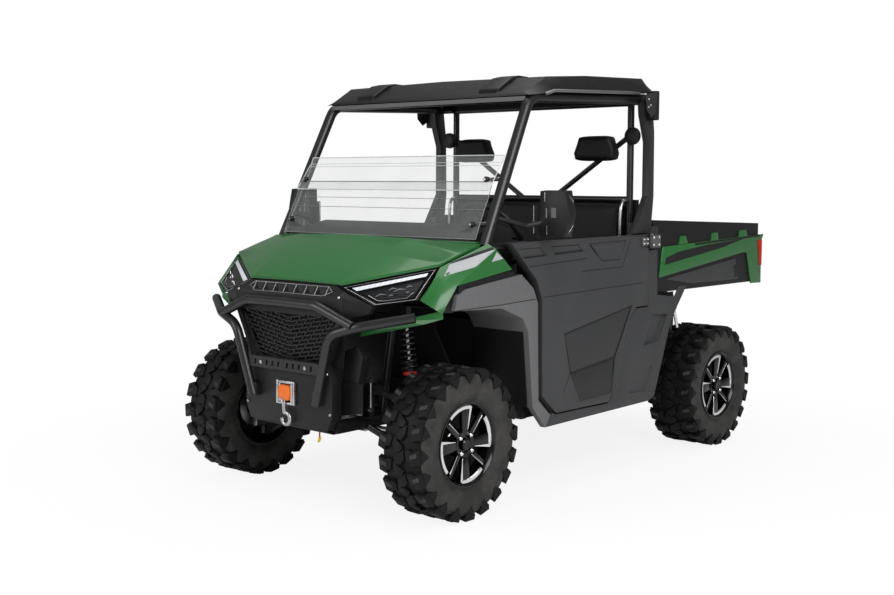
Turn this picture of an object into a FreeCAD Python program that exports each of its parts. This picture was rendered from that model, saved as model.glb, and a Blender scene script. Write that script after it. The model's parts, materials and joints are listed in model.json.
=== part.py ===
# Side by side utility vehicle, millimetres, +Z up, the front faces -Y and the driver sits on the +X side.
import FreeCAD, Part
import math
import os
import Sketcher
from FreeCAD import Vector

doc = FreeCAD.newDocument("Utility")

# Driving dimensions

DIMENSIONS = [
    ("body_half", 770.0, "x of a door's outer face"),
    ("roof_height", 2038.0, "highest point of the roof"),
    ("front_axle", -1190.0, "y of the front axle"),
    ("wheelbase", 2180.0, "front axle to rear axle"),
    ("track", 1354.0, "between the wheel centres"),
    ("tyre_radius", 343.0, "27 inch tyre, floor to axle"),
    ("front_tyre_width", 240.0, "section of a front tyre"),
    ("rear_tyre_width", 280.0, "section of a rear tyre"),
    ("bead_radius", 178.0, "14 inch rim at the bead"),
    ("lip_radius", 190.0, "rim flange"),
    ("barrel_wall", 8.0, "rim barrel thickness"),
    ("spoke_depth", 34.0, "spokes along the axle"),
    ("hub_radius", 58.0, "wheel centre disc"),
    ("spindle_radius", 20.0, "stub axle"),
    ("kingpin_half", 587.0, "x of the kingpin"),
    ("upright_half_height", 94.0, "knuckle above and below the axle"),
    ("rail_half", 250.0, "x of a main rail's centre"),
    ("rail_size", 50.0, "square main rail"),
    ("rail_height", 391.0, "z of a main rail's centre"),
    ("sill_half", "=body_half - 98", "x of a sill tube's centre"),
    ("tube_size", 40.0, "square frame tube"),
    ("post_half", "=body_half - 86", "x of a front post and pillar foot"),
    ("door_thickness", 45.0, "door, outside to inside"),
    ("door_height", 1222.0, "top edge of a door"),
    ("hinge_offset", 15.0, "hinge pin outside the door's face"),
    ("hinge_pin_y", 368.0, "hinge pin, by the cab datum"),
    ("pin_radius", 5.0, "hinge pin"),
    ("barrel_radius", 11.0, "hinge barrel"),
    ("shut_gap", 8.0, "gap about a door or lid"),
    ("cage_radius", 26.0, "cage tube"),
    ("header_height", "=roof_height - 158", "top of a front pillar"),
    ("header_half", "=body_half - 110", "x of a front pillar's top"),
    ("rear_top_height", "=roof_height - 108", "top of a rear pillar"),
    ("rear_top_half", "=body_half - 45", "x of a rear pillar's middle"),
    ("pillar_thickness", 40.0, "rear pillar, side to side"),
    ("roof_skin", 14.0, "roof thickness"),
    ("glass_thickness", 5.0, "windshield sheet"),
    ("glass_half", "=header_half - 12", "half width of the windshield"),
    ("hood_thickness", 12.0, "hood panel"),
    ("bed_half", "=body_half - 25", "x of a bed side's outer face"),
    ("bed_wall", 36.0, "bed wall thickness"),
    ("bed_length", 1210.0, "bed, outside, front to rear"),
    ("bed_floor", 940.0, "top of the bed floor"),
    ("bed_rail", 1252.0, "top of the bed rail at the rear"),
    ("bed_rise", 42.0, "bed rail, front above rear"),
    ("gate_thickness", 30.0, "tailgate"),
    ("seat_height", 760.0, "top of the seat base"),
    ("cushion_height", 120.0, "seat cushion"),
    ("wheel_rim_radius", 180.0, "steering wheel, to the grip's middle"),
    ("grip_radius", 15.0, "steering wheel grip"),
    ("bar_radius", 22.0, "bull bar tube"),
    ("arm_radius", 16.0, "suspension arm tube"),
    ("spring_radius", 42.0, "outside of a coil spring"),
    ("receiver_outer", 63.5, "hitch receiver, outside"),
    ("receiver_bore", 50.8, "hitch receiver, inside"),
    ("soft_gap", 0.3, "clearance about a soft part"),
    ("lug_height", 20.0, "tyre lug above the casing"),
    ("emboss_depth", 4.0, "pressed fields in a door"),
]

sheet = doc.addObject("Spreadsheet::Sheet", "Sizes")


class Size:
    """A length with its formula, so that one value drives a constraint and a shape."""

    def __init__(self, formula, value):
        self.formula = formula
        self.value = value

    def joined(self, other, sign, result, swapped=False):
        left, right = self.formula, formula_of(other)
        if swapped:
            left, right = right, left
        return Size("(" + left + " " + sign + " " + right + ")", result)

    def __add__(self, other):
        return self.joined(other, "+", self.value + number(other))

    def __radd__(self, other):
        return self.joined(other, "+", number(other) + self.value, True)

    def __sub__(self, other):
        return self.joined(other, "-", self.value - number(other))

    def __rsub__(self, other):
        return self.joined(other, "-", number(other) - self.value, True)

    def __mul__(self, other):
        return self.joined(other, "*", self.value * number(other))

    def __rmul__(self, other):
        return self.joined(other, "*", number(other) * self.value, True)

    def __truediv__(self, other):
        return self.joined(other, "/", self.value / number(other))

    def __neg__(self):
        return Size("(0 - " + self.formula + ")", -self.value)


def number(length):
    return length.value if isinstance(length, Size) else float(length)


def formula_of(length):
    return length.formula if isinstance(length, Size) else "%.3f" % length


class Sizes:
    """The sheet's cells by name."""


size = Sizes()
for row, (alias, value, note) in enumerate(DIMENSIONS, start=1):
    sheet.set("A%d" % row, alias)
    sheet.set("B%d" % row, str(value))
    sheet.set("C%d" % row, note)
    sheet.setAlias("B%d" % row, alias)
doc.recompute()
for alias, value, note in DIMENSIONS:
    setattr(size, alias, Size("Sizes." + alias, float(sheet.get(alias))))

# Places: y is counted from the middle between the axles, so the front axle is at -HALF_BASE,
# and z from the floor under AXLE_DATUM tall tyres. What is forward follows the front axle,
# what is aft follows the rear one, and everything rides on the tyres.

HALF_BASE = 1090.0
AXLE_DATUM = 343.0
DOOR_DATUM = 770.0


def fore(y):
    return size.front_axle + (y + HALF_BASE)


def aft(y):
    return size.front_axle + size.wheelbase + (y - HALF_BASE)


def up(z):
    return size.tyre_radius + (z - AXLE_DATUM)


def wide(x):
    """A distance from the centre plane that follows the doors' outer face."""
    return size.body_half + (x - DOOR_DATUM)


front_y = fore(-HALF_BASE)
rear_y = aft(HALF_BASE)
wheel_x = size.track / 2
hinge_y = aft(0.0) + size.hinge_pin_y
hinge_x = size.body_half + size.hinge_offset

nodes = []


def keep(thing, name):
    """Names a finished sub-part and lists it for writing."""
    thing.Label = name
    nodes.append(thing)
    return thing


def bind(thing, path, length):
    if isinstance(length, Size):
        thing.setExpression(path, length.formula)
    else:
        raise ValueError("only a size can be bound: " + path)


def sized(length):
    return length if isinstance(length, Size) else Size(formula_of(length), float(length))


# Sketches and features

def new_body(name):
    return doc.addObject("PartDesign::Body", name.replace(".", "_"))


def attached_sketch(body, role, offset, name):
    sketch = body.newObject("Sketcher::SketchObject", name)
    plane = next(item for item in body.Origin.OriginFeatures if item.Role == role)
    sketch.AttachmentSupport = [(plane, "")]
    sketch.MapMode = "FlatFace"
    bind(sketch, "AttachmentOffset.Base.z", sized(offset))
    return sketch


def fix_point(sketch, edge, spot, point, label):
    """Ties one end of an edge to its two coordinates."""
    for axis, kind in ((0, "DistanceX"), (1, "DistanceY")):
        index = sketch.addConstraint(
            Sketcher.Constraint(kind, -1, 1, edge, spot, number(point[axis])))
        name = "%s%s" % ("xy"[axis], label)
        sketch.renameConstraint(index, name)
        sketch.setExpression("Constraints." + name, formula_of(point[axis]))


def add_loop(sketch, points):
    """A closed polygon in a sketch, every corner bound to the sheet."""
    first = sketch.GeometryCount
    count = len(points)
    spots = [Vector(number(p[0]), number(p[1]), 0) for p in points]
    for i in range(count):
        sketch.addGeometry(Part.LineSegment(spots[i], spots[(i + 1) % count]), False)
    for i in range(count):
        sketch.addConstraint(Sketcher.Constraint("Coincident", first + i, 2, first + (i + 1) % count, 1))
    for i, point in enumerate(points):
        fix_point(sketch, first + i, 1, point, str(first + i))


def outline(body, role, offset, points, name="Outline"):
    """A sketch of one closed polygon."""
    sketch = attached_sketch(body, role, offset, name)
    add_loop(sketch, points)
    return sketch


def disc(body, role, offset, centre, radius, name="Disc"):
    """A circle with its centre and radius bound to the sheet."""
    sketch = attached_sketch(body, role, offset, name)
    spot = Vector(number(centre[0]), number(centre[1]), 0)
    sketch.addGeometry(Part.Circle(spot, Vector(0, 0, 1), number(radius)), False)
    fix_point(sketch, 0, 3, centre, "0")
    index = sketch.addConstraint(Sketcher.Constraint("Radius", 0, number(radius)))
    sketch.renameConstraint(index, "radius")
    sketch.setExpression("Constraints.radius", formula_of(radius))
    return sketch


def pad(body, sketch, length, name="Pad"):
    feature = body.newObject("PartDesign::Pad", name)
    feature.Profile = sketch
    bind(feature, "Length", sized(length))
    sketch.Visibility = False
    return feature


def pocket(body, sketch, length, name="Pocket"):
    """Cuts away from the sketch's normal."""
    feature = body.newObject("PartDesign::Pocket", name)
    feature.Profile = sketch
    bind(feature, "Length", sized(length))
    sketch.Visibility = False
    return feature


def mirrored(body, features, role, name="Mirrored"):
    feature = body.newObject("PartDesign::Mirrored", name)
    feature.Originals = features
    plane = next(item for item in body.Origin.OriginFeatures if item.Role == role)
    feature.MirrorPlane = (plane, [""])
    body.Tip = feature
    return feature


# Part primitives

def box(x, y, z, label="Box"):
    """A box between two x, two y and two z."""
    item = doc.addObject("Part::Box", label)
    for axis, (low, high), edge in (("x", x, "Length"), ("y", y, "Width"), ("z", z, "Height")):
        bind(item, "Placement.Base." + axis, sized(low))
        bind(item, edge, sized(high) - low)
    return item


def rod_x(x, y, z, radius, label="Rod"):
    """A cylinder along X."""
    item = doc.addObject("Part::Cylinder", label)
    item.Placement = FreeCAD.Placement(Vector(), FreeCAD.Rotation(Vector(0, 1, 0), 90))
    bind(item, "Placement.Base.x", sized(x[0]))
    bind(item, "Placement.Base.y", sized(y))
    bind(item, "Placement.Base.z", sized(z))
    bind(item, "Radius", sized(radius))
    bind(item, "Height", sized(x[1]) - x[0])
    return item


def rod_y(x, y, z, radius, label="Rod"):
    """A cylinder along Y."""
    item = doc.addObject("Part::Cylinder", label)
    item.Placement = FreeCAD.Placement(Vector(), FreeCAD.Rotation(Vector(1, 0, 0), -90))
    bind(item, "Placement.Base.x", sized(x))
    bind(item, "Placement.Base.y", sized(y[0]))
    bind(item, "Placement.Base.z", sized(z))
    bind(item, "Radius", sized(radius))
    bind(item, "Height", sized(y[1]) - y[0])
    return item


def fused(items, label="Union"):
    item = doc.addObject("Part::MultiFuse", label)
    item.Shapes = items
    return item


def cut(base, tool, label="Cut"):
    item = doc.addObject("Part::Cut", label)
    item.Base = base
    item.Tool = tool
    return item


def feature(shape, label):
    item = doc.addObject("Part::Feature", label)
    item.Shape = shape
    item.Placement = FreeCAD.Placement()
    return item


# Shapes that lie askew in space

def place(point, side=1):
    return Vector(side * number(point[0]), number(point[1]), number(point[2]))


def tube_shape(points, radius, bend, side=1):
    """A round tube on straight runs joined by tangent arcs."""
    spots = [place(p, side) for p in points]
    edges = []
    start = spots[0]
    for i in range(1, len(spots) - 1):
        back = (spots[i - 1] - spots[i]).normalize()
        ahead = (spots[i + 1] - spots[i]).normalize()
        half = back.getAngle(ahead) / 2
        reach = bend / math.tan(half)
        enter = spots[i] + back * reach
        leave = spots[i] + ahead * reach
        middle = (back + ahead).normalize()
        crown = spots[i] + middle * (bend / math.sin(half) - bend)
        edges.append(Part.LineSegment(start, enter).toShape())
        edges.append(Part.Arc(enter, crown, leave).toShape())
        start = leave
    edges.append(Part.LineSegment(start, spots[-1]).toShape())
    path = Part.Wire(edges)
    heading = (spots[1] - spots[0]).normalize()
    ring = Part.Wire(Part.makeCircle(number(radius), spots[0], heading))
    return path.makePipeShell([ring], True, True)


def rod_shape(start, end, radius, side=1):
    """A straight round rod between two points."""
    first, last = place(start, side), place(end, side)
    return Part.makeCylinder(number(radius), (last - first).Length, first, last - first)


def joined_shape(shapes):
    whole = shapes[0]
    for shape in shapes[1:]:
        whole = whole.fuse(shape)
    return whole.removeSplitter()


def facet_solid(a, b):
    """A solid of triangles between two loops of corners, each seen whole from its first corner."""
    count = len(a)

    def facet(*spots):
        return Part.Face(Part.makePolygon(list(spots) + [spots[0]]))

    faces = []
    for i in range(1, count - 1):
        faces.append(facet(a[0], a[i], a[i + 1]))
        faces.append(facet(b[0], b[i], b[i + 1]))
    for i in range(count):
        j = (i + 1) % count
        faces.append(facet(a[i], a[j], b[j]))
        faces.append(facet(a[i], b[j], b[i]))
    solid = Part.Solid(Part.Shell(faces))
    if solid.Volume < 0:
        solid.reverse()
    return solid.removeSplitter()


def corner_solid(outer, inner, side=1):
    return facet_solid([place(p, side) for p in outer], [place(p, side) for p in inner])


def section_loft(sections):
    """A solid through closed sections, each a list of points with as many corners."""
    wires = [Part.makePolygon([place(p) for p in s] + [place(s[0])]) for s in sections]
    return Part.makeLoft(wires, True, True)


def both_sides(maker):
    """The left and the right copy of a shape in one compound."""
    return Part.makeCompound([maker(1), maker(-1)])


# Wheels

SIDES = (("left", 1), ("right", -1))


RIM_INSET = 22.0


def wheel_frame(thing, side, axle_y):
    """Sets a wheel part at its centre, its local X outwards."""
    if side < 0:
        thing.Placement = FreeCAD.Placement(Vector(), FreeCAD.Rotation(Vector(0, 0, 1), 180))
    bind(thing, "Placement.Base.x", side * wheel_x)
    bind(thing, "Placement.Base.y", axle_y)
    bind(thing, "Placement.Base.z", size.tyre_radius)


def revolved(body, points, name="Turned"):
    """Turns an outline of (x, radius) corners about the wheel's own X."""
    sketch = outline(body, "XY_Plane", 0, points, name + "Outline")
    turned = body.newObject("PartDesign::Revolution", name)
    turned.Profile = sketch
    turned.ReferenceAxis = (sketch, ["H_Axis"])
    turned.Angle = 360
    sketch.Visibility = False
    return turned


LUGS = 15
CASING_FACETS = 24
SHOULDER = 20.0
LUG_PITCH = 2 * math.pi / LUGS
LUG_WIDE = 0.33
LUG_NARROW = 0.2
LUG_SLANT = 0.42
LUG_RAKE = 17.0


def spun(x, radius, turn):
    """A point of a wheel at an angle from its lowest point, in the wheel's own frame."""
    return Vector(x, radius * math.sin(turn), -radius * math.cos(turn))


def tyre_casing(profile):
    """A ring of flat facets about the wheel's X, from an outline of (x, radius) corners."""
    step = 2 * math.pi / CASING_FACETS
    faces = []
    for i in range(CASING_FACETS):
        low, high = (i - 0.5) * step, (i + 0.5) * step
        for j, (x, radius) in enumerate(profile):
            next_x, next_radius = profile[(j + 1) % len(profile)]
            corners = [spun(x, radius, low), spun(next_x, next_radius, low),
                       spun(next_x, next_radius, high), spun(x, radius, high)]
            faces.append(Part.Face(Part.makePolygon(corners + corners[:1])))
    casing = Part.Solid(Part.Shell(faces))
    if casing.Volume < 0:
        casing.reverse()
    return casing


def lug_block(half, crown, depth, turn, flip):
    """A slanted block from the shoulder towards the middle, all top corners on the crown."""
    corners = ((half - LUG_RAKE, -LUG_WIDE), (half - LUG_RAKE, LUG_WIDE),
               (half * 0.08, LUG_SLANT + LUG_NARROW), (half * 0.08, LUG_SLANT - LUG_NARROW))
    top = [spun(flip * x, crown, turn + share * LUG_PITCH) for x, share in corners]
    low = [spun(flip * (x + (LUG_RAKE - 3 if share in (-LUG_WIDE, LUG_WIDE) else 0)), crown - depth,
                turn + share * LUG_PITCH) for x, share in corners]
    return facet_solid(top, low)


def tyre_shape(width):
    half = number(width) / 2
    bead = half - RIM_INSET
    crown = number(size.tyre_radius)
    base = crown - number(size.lug_height)
    bore = number(size.bead_radius) / math.cos(math.pi / CASING_FACETS)
    lip = number(size.lip_radius) + 3
    wall = (lip + base) / 2
    profile = [(-bead, bore), (-bead, lip), (-half, wall), (-half + SHOULDER, base),
               (half - SHOULDER, base), (half, wall), (bead, lip), (bead, bore)]
    casing = tyre_casing(profile)
    depth = number(size.lug_height) + 30
    blocks = []
    for i in range(LUGS):
        turn = (i - LUG_SLANT + LUG_NARROW) * LUG_PITCH
        blocks.append(lug_block(half, crown, depth, turn, 1))
        blocks.append(lug_block(half, crown, depth, turn + LUG_PITCH / 2, -1))
    return casing.fuse(blocks).removeSplitter()


def make_tyre(name, side, axle_y, shape):
    tyre = feature(shape, name)
    wheel_frame(tyre, side, axle_y)
    keep(tyre, name)


SPOKES = 5
SPOKE_INNER = 22.0
SPOKE_OUTER = 42.0
SPLIT_INNER = 5.0
SPLIT_OUTER = 24.0


def make_rim(name, side, axle_y, width):
    body = new_body(name)
    half = width / 2
    bead = half - RIM_INSET
    barrel = size.bead_radius - size.barrel_wall
    face = bead - 8
    revolved(body, [
        (-bead - 10, size.lip_radius), (-bead - 10, barrel), (bead + 10, barrel),
        (bead + 10, size.lip_radius), (bead, size.lip_radius), (bead, size.bead_radius),
        (-bead, size.bead_radius), (-bead, size.lip_radius)], "Barrel")
    back = face - size.spoke_depth
    hub_inner = size.spindle_radius + 1
    revolved(body, [
        (back - 20, hub_inner), (face - 6, hub_inner), (face - 6, 0.0), (face + 4, 0.0),
        (face, size.hub_radius), (back - 20, size.hub_radius)], "Hub")
    sketch = attached_sketch(body, "YZ_Plane", back, "SpokeOutline")
    sketch.Visibility = False
    root = size.hub_radius - 6
    reach = barrel + 3
    add_loop(sketch, [(-SPOKE_INNER, root), (SPOKE_INNER, root), (SPOKE_OUTER, reach), (-SPOKE_OUTER, reach)])
    add_loop(sketch, [(-SPLIT_INNER, root + 24), (SPLIT_INNER, root + 24), (SPLIT_OUTER, reach - 16),
                      (-SPLIT_OUTER, reach - 16)])
    spoke = pad(body, sketch, size.spoke_depth, "Spoke")
    pattern = body.newObject("PartDesign::PolarPattern", "Spokes")
    pattern.Originals = [spoke]
    axis = next(item for item in body.Origin.OriginFeatures if item.Role == "X_Axis")
    pattern.Axis = (axis, [""])
    pattern.Angle = 360
    pattern.Occurrences = SPOKES
    body.Tip = pattern
    wheel_frame(body, side, axle_y)
    keep(body, name)


for end, axle_y, width in (("front", front_y, size.front_tyre_width),
                           ("rear", rear_y, size.rear_tyre_width)):
    tread = tyre_shape(width)
    for hand, side in SIDES:
        make_tyre("tyre_%s_%s" % (end, hand), side, axle_y, tread)
        make_rim("rim_%s_%s" % (end, hand), side, axle_y, width)

# Uprights that carry the wheels: the front pair turns on the kingpins

spindle_end = wheel_x + size.front_tyre_width / 2 - 22 - 8 - 7
upright_low = size.tyre_radius - size.upright_half_height
upright_high = size.tyre_radius + size.upright_half_height
ARM_GAP = 0.5
ROD_EYE = 13.0
rail_low = up(0.0) + size.rail_height - size.rail_size / 2
rail_top = rail_low + size.rail_size
rack_y = front_y + 128
rack_z = rail_top + 15
steer_arm_z = rack_z - ROD_EYE - ARM_GAP - 14


def mirrored_x(x, side):
    """A span of x on the left, or its mirror image on the right."""
    return x if side > 0 else (-sized(x[1]), -sized(x[0]))


def make_upright(name, side, axle_y, spindle_tip, steered):
    block = (size.kingpin_half - 20, size.kingpin_half + 22)
    items = [
        box(mirrored_x(block, side), (axle_y - 28, axle_y + 28), (upright_low, upright_high)),
        rod_x(mirrored_x((size.kingpin_half + 10, spindle_tip), side), axle_y,
              size.tyre_radius, size.spindle_radius),
        rod_x(mirrored_x((size.kingpin_half + 10, size.kingpin_half + 32), side), axle_y,
              size.tyre_radius, size.spindle_radius + 24),
    ]
    if steered:
        arm = (size.kingpin_half - 72, size.kingpin_half - 2)
        items.append(box(mirrored_x(arm, side), (rack_y - 16, rack_y + 16), (steer_arm_z, steer_arm_z + 14)))
        inner = (size.kingpin_half - 20, size.kingpin_half + 6)
        items.append(box(mirrored_x(inner, side), (axle_y + 10, rack_y + 16),
                         (steer_arm_z, steer_arm_z + 14)))
    caliper = (size.kingpin_half + 14, size.kingpin_half + 52)
    items.append(box(mirrored_x(caliper, side), (axle_y - 92, axle_y - 20),
                     (size.tyre_radius + 10, size.tyre_radius + 80)))
    keep(fused(items), name)


for hand, side in SIDES:
    make_upright("knuckle_" + hand, side, front_y, spindle_end, True)


def make_rear_uprights():
    items = []
    tip = wheel_x + size.rear_tyre_width / 2 - 22 - 8 - 7
    for hand, side in SIDES:
        block = (size.kingpin_half - 34, size.kingpin_half - 4)
        items.append(box(mirrored_x(block, side), (rear_y - 40, rear_y + 40),
                         (upright_low, upright_high)))
        items.append(rod_x(mirrored_x((size.kingpin_half - 10, tip), side), rear_y,
                           size.tyre_radius, size.spindle_radius))
    keep(fused(items), "rear_uprights")


make_rear_uprights()

# Chassis frame

half_rail = size.rail_size / 2
half_tube = size.tube_size / 2
sill_low = rail_top - size.tube_size
cross_low = rail_top - 20
prop_z = rail_low + 18
post_foot_y = fore(-590.0)
post_top = up(1180.0)
nose_post_y = fore(-1375.0)
bed_frame_top = up(862.0)
PIVOT_Y = 1400.0
PIVOT_Z = 880.0
pivot_y = aft(PIVOT_Y)
pivot_z = up(PIVOT_Z)
EAR_INNER = size.rail_half - 32
EAR_OUTER = size.rail_half + 20
EAR_WIDTH = 12.0
EAR_RADIUS = 17.0
PIVOT_PIN = 8.0
tail_y = aft(1475.0)
receiver_low = rail_low - 10
ARM_SPREAD_LOW = 150.0
ARM_SPREAD_HIGH = 88.0
SEAT_GAP = 0.3
PANEL_DEPTH = 30.0
RADIATOR_HALF = 205.0
engine_low = rail_top + 20
fascia_front = fore(-1445.0)
FASCIA_DEPTH = 40.0


def make_frame():
    items = []
    for hand, side in SIDES:
        rail = (size.rail_half - half_rail, size.rail_half + half_rail)
        items.append(box(mirrored_x(rail, side), (nose_post_y - 20, tail_y), (rail_low, rail_top)))
        sill = (size.sill_half - half_tube, size.sill_half + half_tube)
        items.append(box(mirrored_x(sill, side), (post_foot_y - half_tube, aft(455.0)),
                         (sill_low, rail_top)))
        post = (size.post_half - 17, size.post_half + 17)
        items.append(box(mirrored_x(post, side), (post_foot_y - 17, post_foot_y + 17),
                         (sill_low, post_top)))
        nose = (size.rail_half - half_rail, size.rail_half - half_rail + 36)
        items.append(box(mirrored_x(nose, side), (fascia_front + FASCIA_DEPTH + SEAT_GAP, nose_post_y + 18),
                         (rail_low + 6, up(960.0))))
        for z in (560.0, 830.0):
            items.append(box(mirrored_x((RADIATOR_HALF + SEAT_GAP, size.rail_half), side),
                             (nose_post_y + 10, nose_post_y + 45), (up(z), up(z + 30.0))))
        for y in (fore(-300.0), aft(100.0)):
            items.append(box(mirrored_x((size.sill_half, size.body_half - PANEL_DEPTH - SEAT_GAP), side),
                             (y - 15, y + 15), (sill_low - 20, sill_low + 4)))
        stay = (size.rail_half - 18, size.rail_half + 18)
        items.append(box(mirrored_x(stay, side), (aft(560.0), aft(596.0)), (rail_low, bed_frame_top)))
        items.append(box(mirrored_x(stay, side), (tail_y - 36, tail_y), (rail_low, bed_frame_top - 60)))
        items.append(box(mirrored_x(stay, side), (pivot_y - 66, tail_y), (bed_frame_top - 96, bed_frame_top - 60)))
        items.append(box(mirrored_x(stay, side), (pivot_y - 66, pivot_y - 30),
                         (bed_frame_top - 96, bed_frame_top - 20)))
        items.append(box(mirrored_x(stay, side), (aft(560.0), pivot_y - 30),
                         (bed_frame_top - 40, bed_frame_top)))
        arm_post = (size.rail_half - 18, size.rail_half + half_rail)
        for axle_y in (front_y, rear_y):
            for reach in (-ARM_SPREAD_HIGH, ARM_SPREAD_HIGH):
                items.append(box(mirrored_x(arm_post, side), (axle_y + reach - 18, axle_y + reach + 18),
                                 (rail_top - 10, up(569.0))))
        items.append(feature(rod_shape((size.rail_half + 5, front_y, rail_top - 6),
                                       (size.rail_half + 80, front_y, up(868.0)), 18, side), "Tower"))
        items.append(feature(rod_shape((size.rail_half + 5, rear_y, rail_top - 6),
                                       (size.rail_half + 80, rear_y, bed_frame_top - 20), 18, side),
                             "Tower"))
        items.append(feature(tube_shape([(size.rail_half - 8, nose_post_y, up(940.0)),
                                         (420, front_y, up(985.0)), (570, fore(-800.0), up(985.0)),
                                         (size.post_half, post_foot_y, up(985.0))], 16, 120, side),
                             "Stay"))
        items.append(box(mirrored_x((390, 424), side), (front_y - 15, front_y + 15),
                         (up(880.0), up(982.0))))
    for y in (post_foot_y - half_tube, fore(-120.0), aft(415.0)):
        items.append(box((-size.sill_half, size.sill_half), (y, y + size.tube_size),
                         (cross_low, rail_top)))
    for y in (aft(540.0), aft(850.0)):
        items.append(box((-size.rail_half, size.rail_half), (y, y + 30), (cross_low, engine_low - SEAT_GAP)))
    for y in (nose_post_y - 18, tail_y - 36):
        items.append(box((-size.rail_half, size.rail_half), (y, y + 36), (cross_low, rail_top)))
    items.append(box((-size.rail_half, size.rail_half), (rack_y - 20, rack_y + 20), (cross_low, cross_low + 10)))
    items.append(box((-size.rail_half, size.rail_half), (nose_post_y - 18, nose_post_y + 18),
                     (up(924.0), up(960.0))))
    tower = size.rail_half + 195
    items.append(box((-tower, tower), (front_y - 18, front_y + 18), (up(858.0), up(888.0))))
    items.append(box((-tower, tower), (rear_y - 18, rear_y + 18), (bed_frame_top - 34, bed_frame_top - 2)))
    items.append(box((-size.receiver_outer / 2, size.receiver_outer / 2), (tail_y - 90, tail_y + 60),
                     (receiver_low, receiver_low + size.receiver_outer)))
    wall = (size.receiver_outer - size.receiver_bore) / 2
    bore = box((-size.receiver_bore / 2, size.receiver_bore / 2), (tail_y - 80, tail_y + 60),
               (receiver_low + wall, receiver_low + wall + size.receiver_bore))
    reach = size.rail_half - half_rail - 3
    items.append(box((-60, 60), (rack_y - 20, rack_y + 20), (cross_low + 10, rack_z)))
    items.append(rod_x((-reach, reach), rack_y, rack_z, 24))
    rack_bore = rod_x((-reach - 10, reach + 10), rack_y, rack_z, 10)
    for hand, side in SIDES:
        bridge = (EAR_INNER, EAR_OUTER + EAR_WIDTH)
        items.append(box(mirrored_x(bridge, side), (pivot_y - 60, pivot_y - 30),
                         (bed_frame_top - 30, bed_frame_top)))
        for reach in (EAR_INNER, EAR_OUTER):
            ear = (reach, reach + EAR_WIDTH)
            items.append(rod_x(mirrored_x(ear, side), pivot_y, pivot_z, EAR_RADIUS))
            items.append(box(mirrored_x(ear, side), (pivot_y - 60, pivot_y), (bed_frame_top - 30, bed_frame_top)))
            items.append(box(mirrored_x(ear, side), (pivot_y - EAR_RADIUS, pivot_y + EAR_RADIUS),
                             (bed_frame_top - 30, pivot_z)))
        items.append(rod_x(mirrored_x((EAR_INNER, EAR_OUTER + EAR_WIDTH), side), pivot_y, pivot_z, PIVOT_PIN))
    keep(cut(fused(items), fused([bore, rack_bore])), "frame")


make_frame()

# Skid plate under the rails, turned up at the nose

skid_half = size.rail_half
skid_gap = 0.3


def make_skid():
    body = new_body("skid_plate")
    under = rail_low - skid_gap
    nose = [(front_y - 105, under), (front_y - 105, under - 6), (nose_post_y - 20, under - 6),
            (fore(-1440.0), up(377.7)), (fore(-1440.0), up(384.7)), (nose_post_y - 22, under)]
    belly = [(front_y + 105, under - 6), (rear_y - 160, under - 6), (rear_y - 160, under),
             (front_y + 105, under)]
    pad(body, outline(body, "YZ_Plane", -skid_half, nose, "Nose"), skid_half * 2, "NosePad")
    pad(body, outline(body, "YZ_Plane", -skid_half, belly, "Belly"), skid_half * 2, "BellyPad")
    keep(body, "skid_plate")


make_skid()

# Engine and drive line

keep(box((-210, 210), (aft(500.0), aft(900.0)), (engine_low, up(790.0))), "engine")


def make_driveline():
    case_low = size.tyre_radius - 5
    items = [
        box((-80, 80), (front_y - 95, front_y + 95), (case_low, up(450.0))),
        rod_y(30, (front_y + 90, rear_y - 130), prop_z, 11),
        box((-95, 95), (rear_y - 140, rear_y + 110), (case_low, up(500.0))),
        rod_x((-(size.kingpin_half - 34), size.kingpin_half - 34), rear_y, size.tyre_radius, 13),
        rod_x((-(size.kingpin_half - 62), size.kingpin_half - 62), front_y, size.tyre_radius, 13),
    ]
    for hand, side in SIDES:
        for axle_y, end in ((front_y, 62), (rear_y, 34)):
            boot = (size.kingpin_half - end - 66, size.kingpin_half - end)
            items.append(rod_x(mirrored_x(boot, side), axle_y, size.tyre_radius, 34))
            items.append(rod_x(mirrored_x((75, 150), side), axle_y, size.tyre_radius + 8, 34))
    keep(fused(items), "driveline")


make_driveline()

keep(box((-RADIATOR_HALF, RADIATOR_HALF), (fore(-1345.0), fore(-1290.0)), (up(520.0), up(900.0))), "radiator")

# Suspension arms, rack and shock absorbers

EYE_RADIUS = 28.0
EYE_HEIGHT = 36.0
SHOCK_X = 195.0


def arm_pair(axle_y, side, pivot_x):
    """Lower and upper arm of one wheel, each an A of two tubes and an eye."""
    shapes = []
    inner_x = size.rail_half + half_rail + 22.3
    for low, spread, inner_z in ((True, ARM_SPREAD_LOW, up(390.0)), (False, ARM_SPREAD_HIGH, up(545.0))):
        eye_z = upright_low - ARM_GAP - EYE_HEIGHT if low else upright_high + ARM_GAP
        eye = Part.makeCylinder(EYE_RADIUS, EYE_HEIGHT, place((pivot_x, axle_y, eye_z), side))
        tip = (pivot_x - 24, axle_y, eye_z + (EYE_HEIGHT / 2 - 12 if low else EYE_HEIGHT / 2))
        for reach in (-spread, spread):
            pivot = (inner_x, axle_y + reach, inner_z)
            shapes.append(rod_shape(pivot, tip, size.arm_radius, side))
            shapes.append(Part.makeCylinder(22, 50, place((inner_x, axle_y + reach - 25, inner_z), side),
                                            Vector(0, 1, 0)))
        if not low:
            share = (number(size.rail_half) + SHOCK_X - number(inner_x)) / (number(tip[0]) - number(inner_x))
            bar_z = inner_z + (tip[2] - inner_z) * share
            bar_half = spread * (1 - share)
            bar_x = size.rail_half + SHOCK_X
            shapes.append(rod_shape((bar_x, axle_y - bar_half, bar_z), (bar_x, axle_y + bar_half, bar_z),
                                    size.arm_radius, side))
        shapes.append(eye)
    return joined_shape(shapes)


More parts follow.
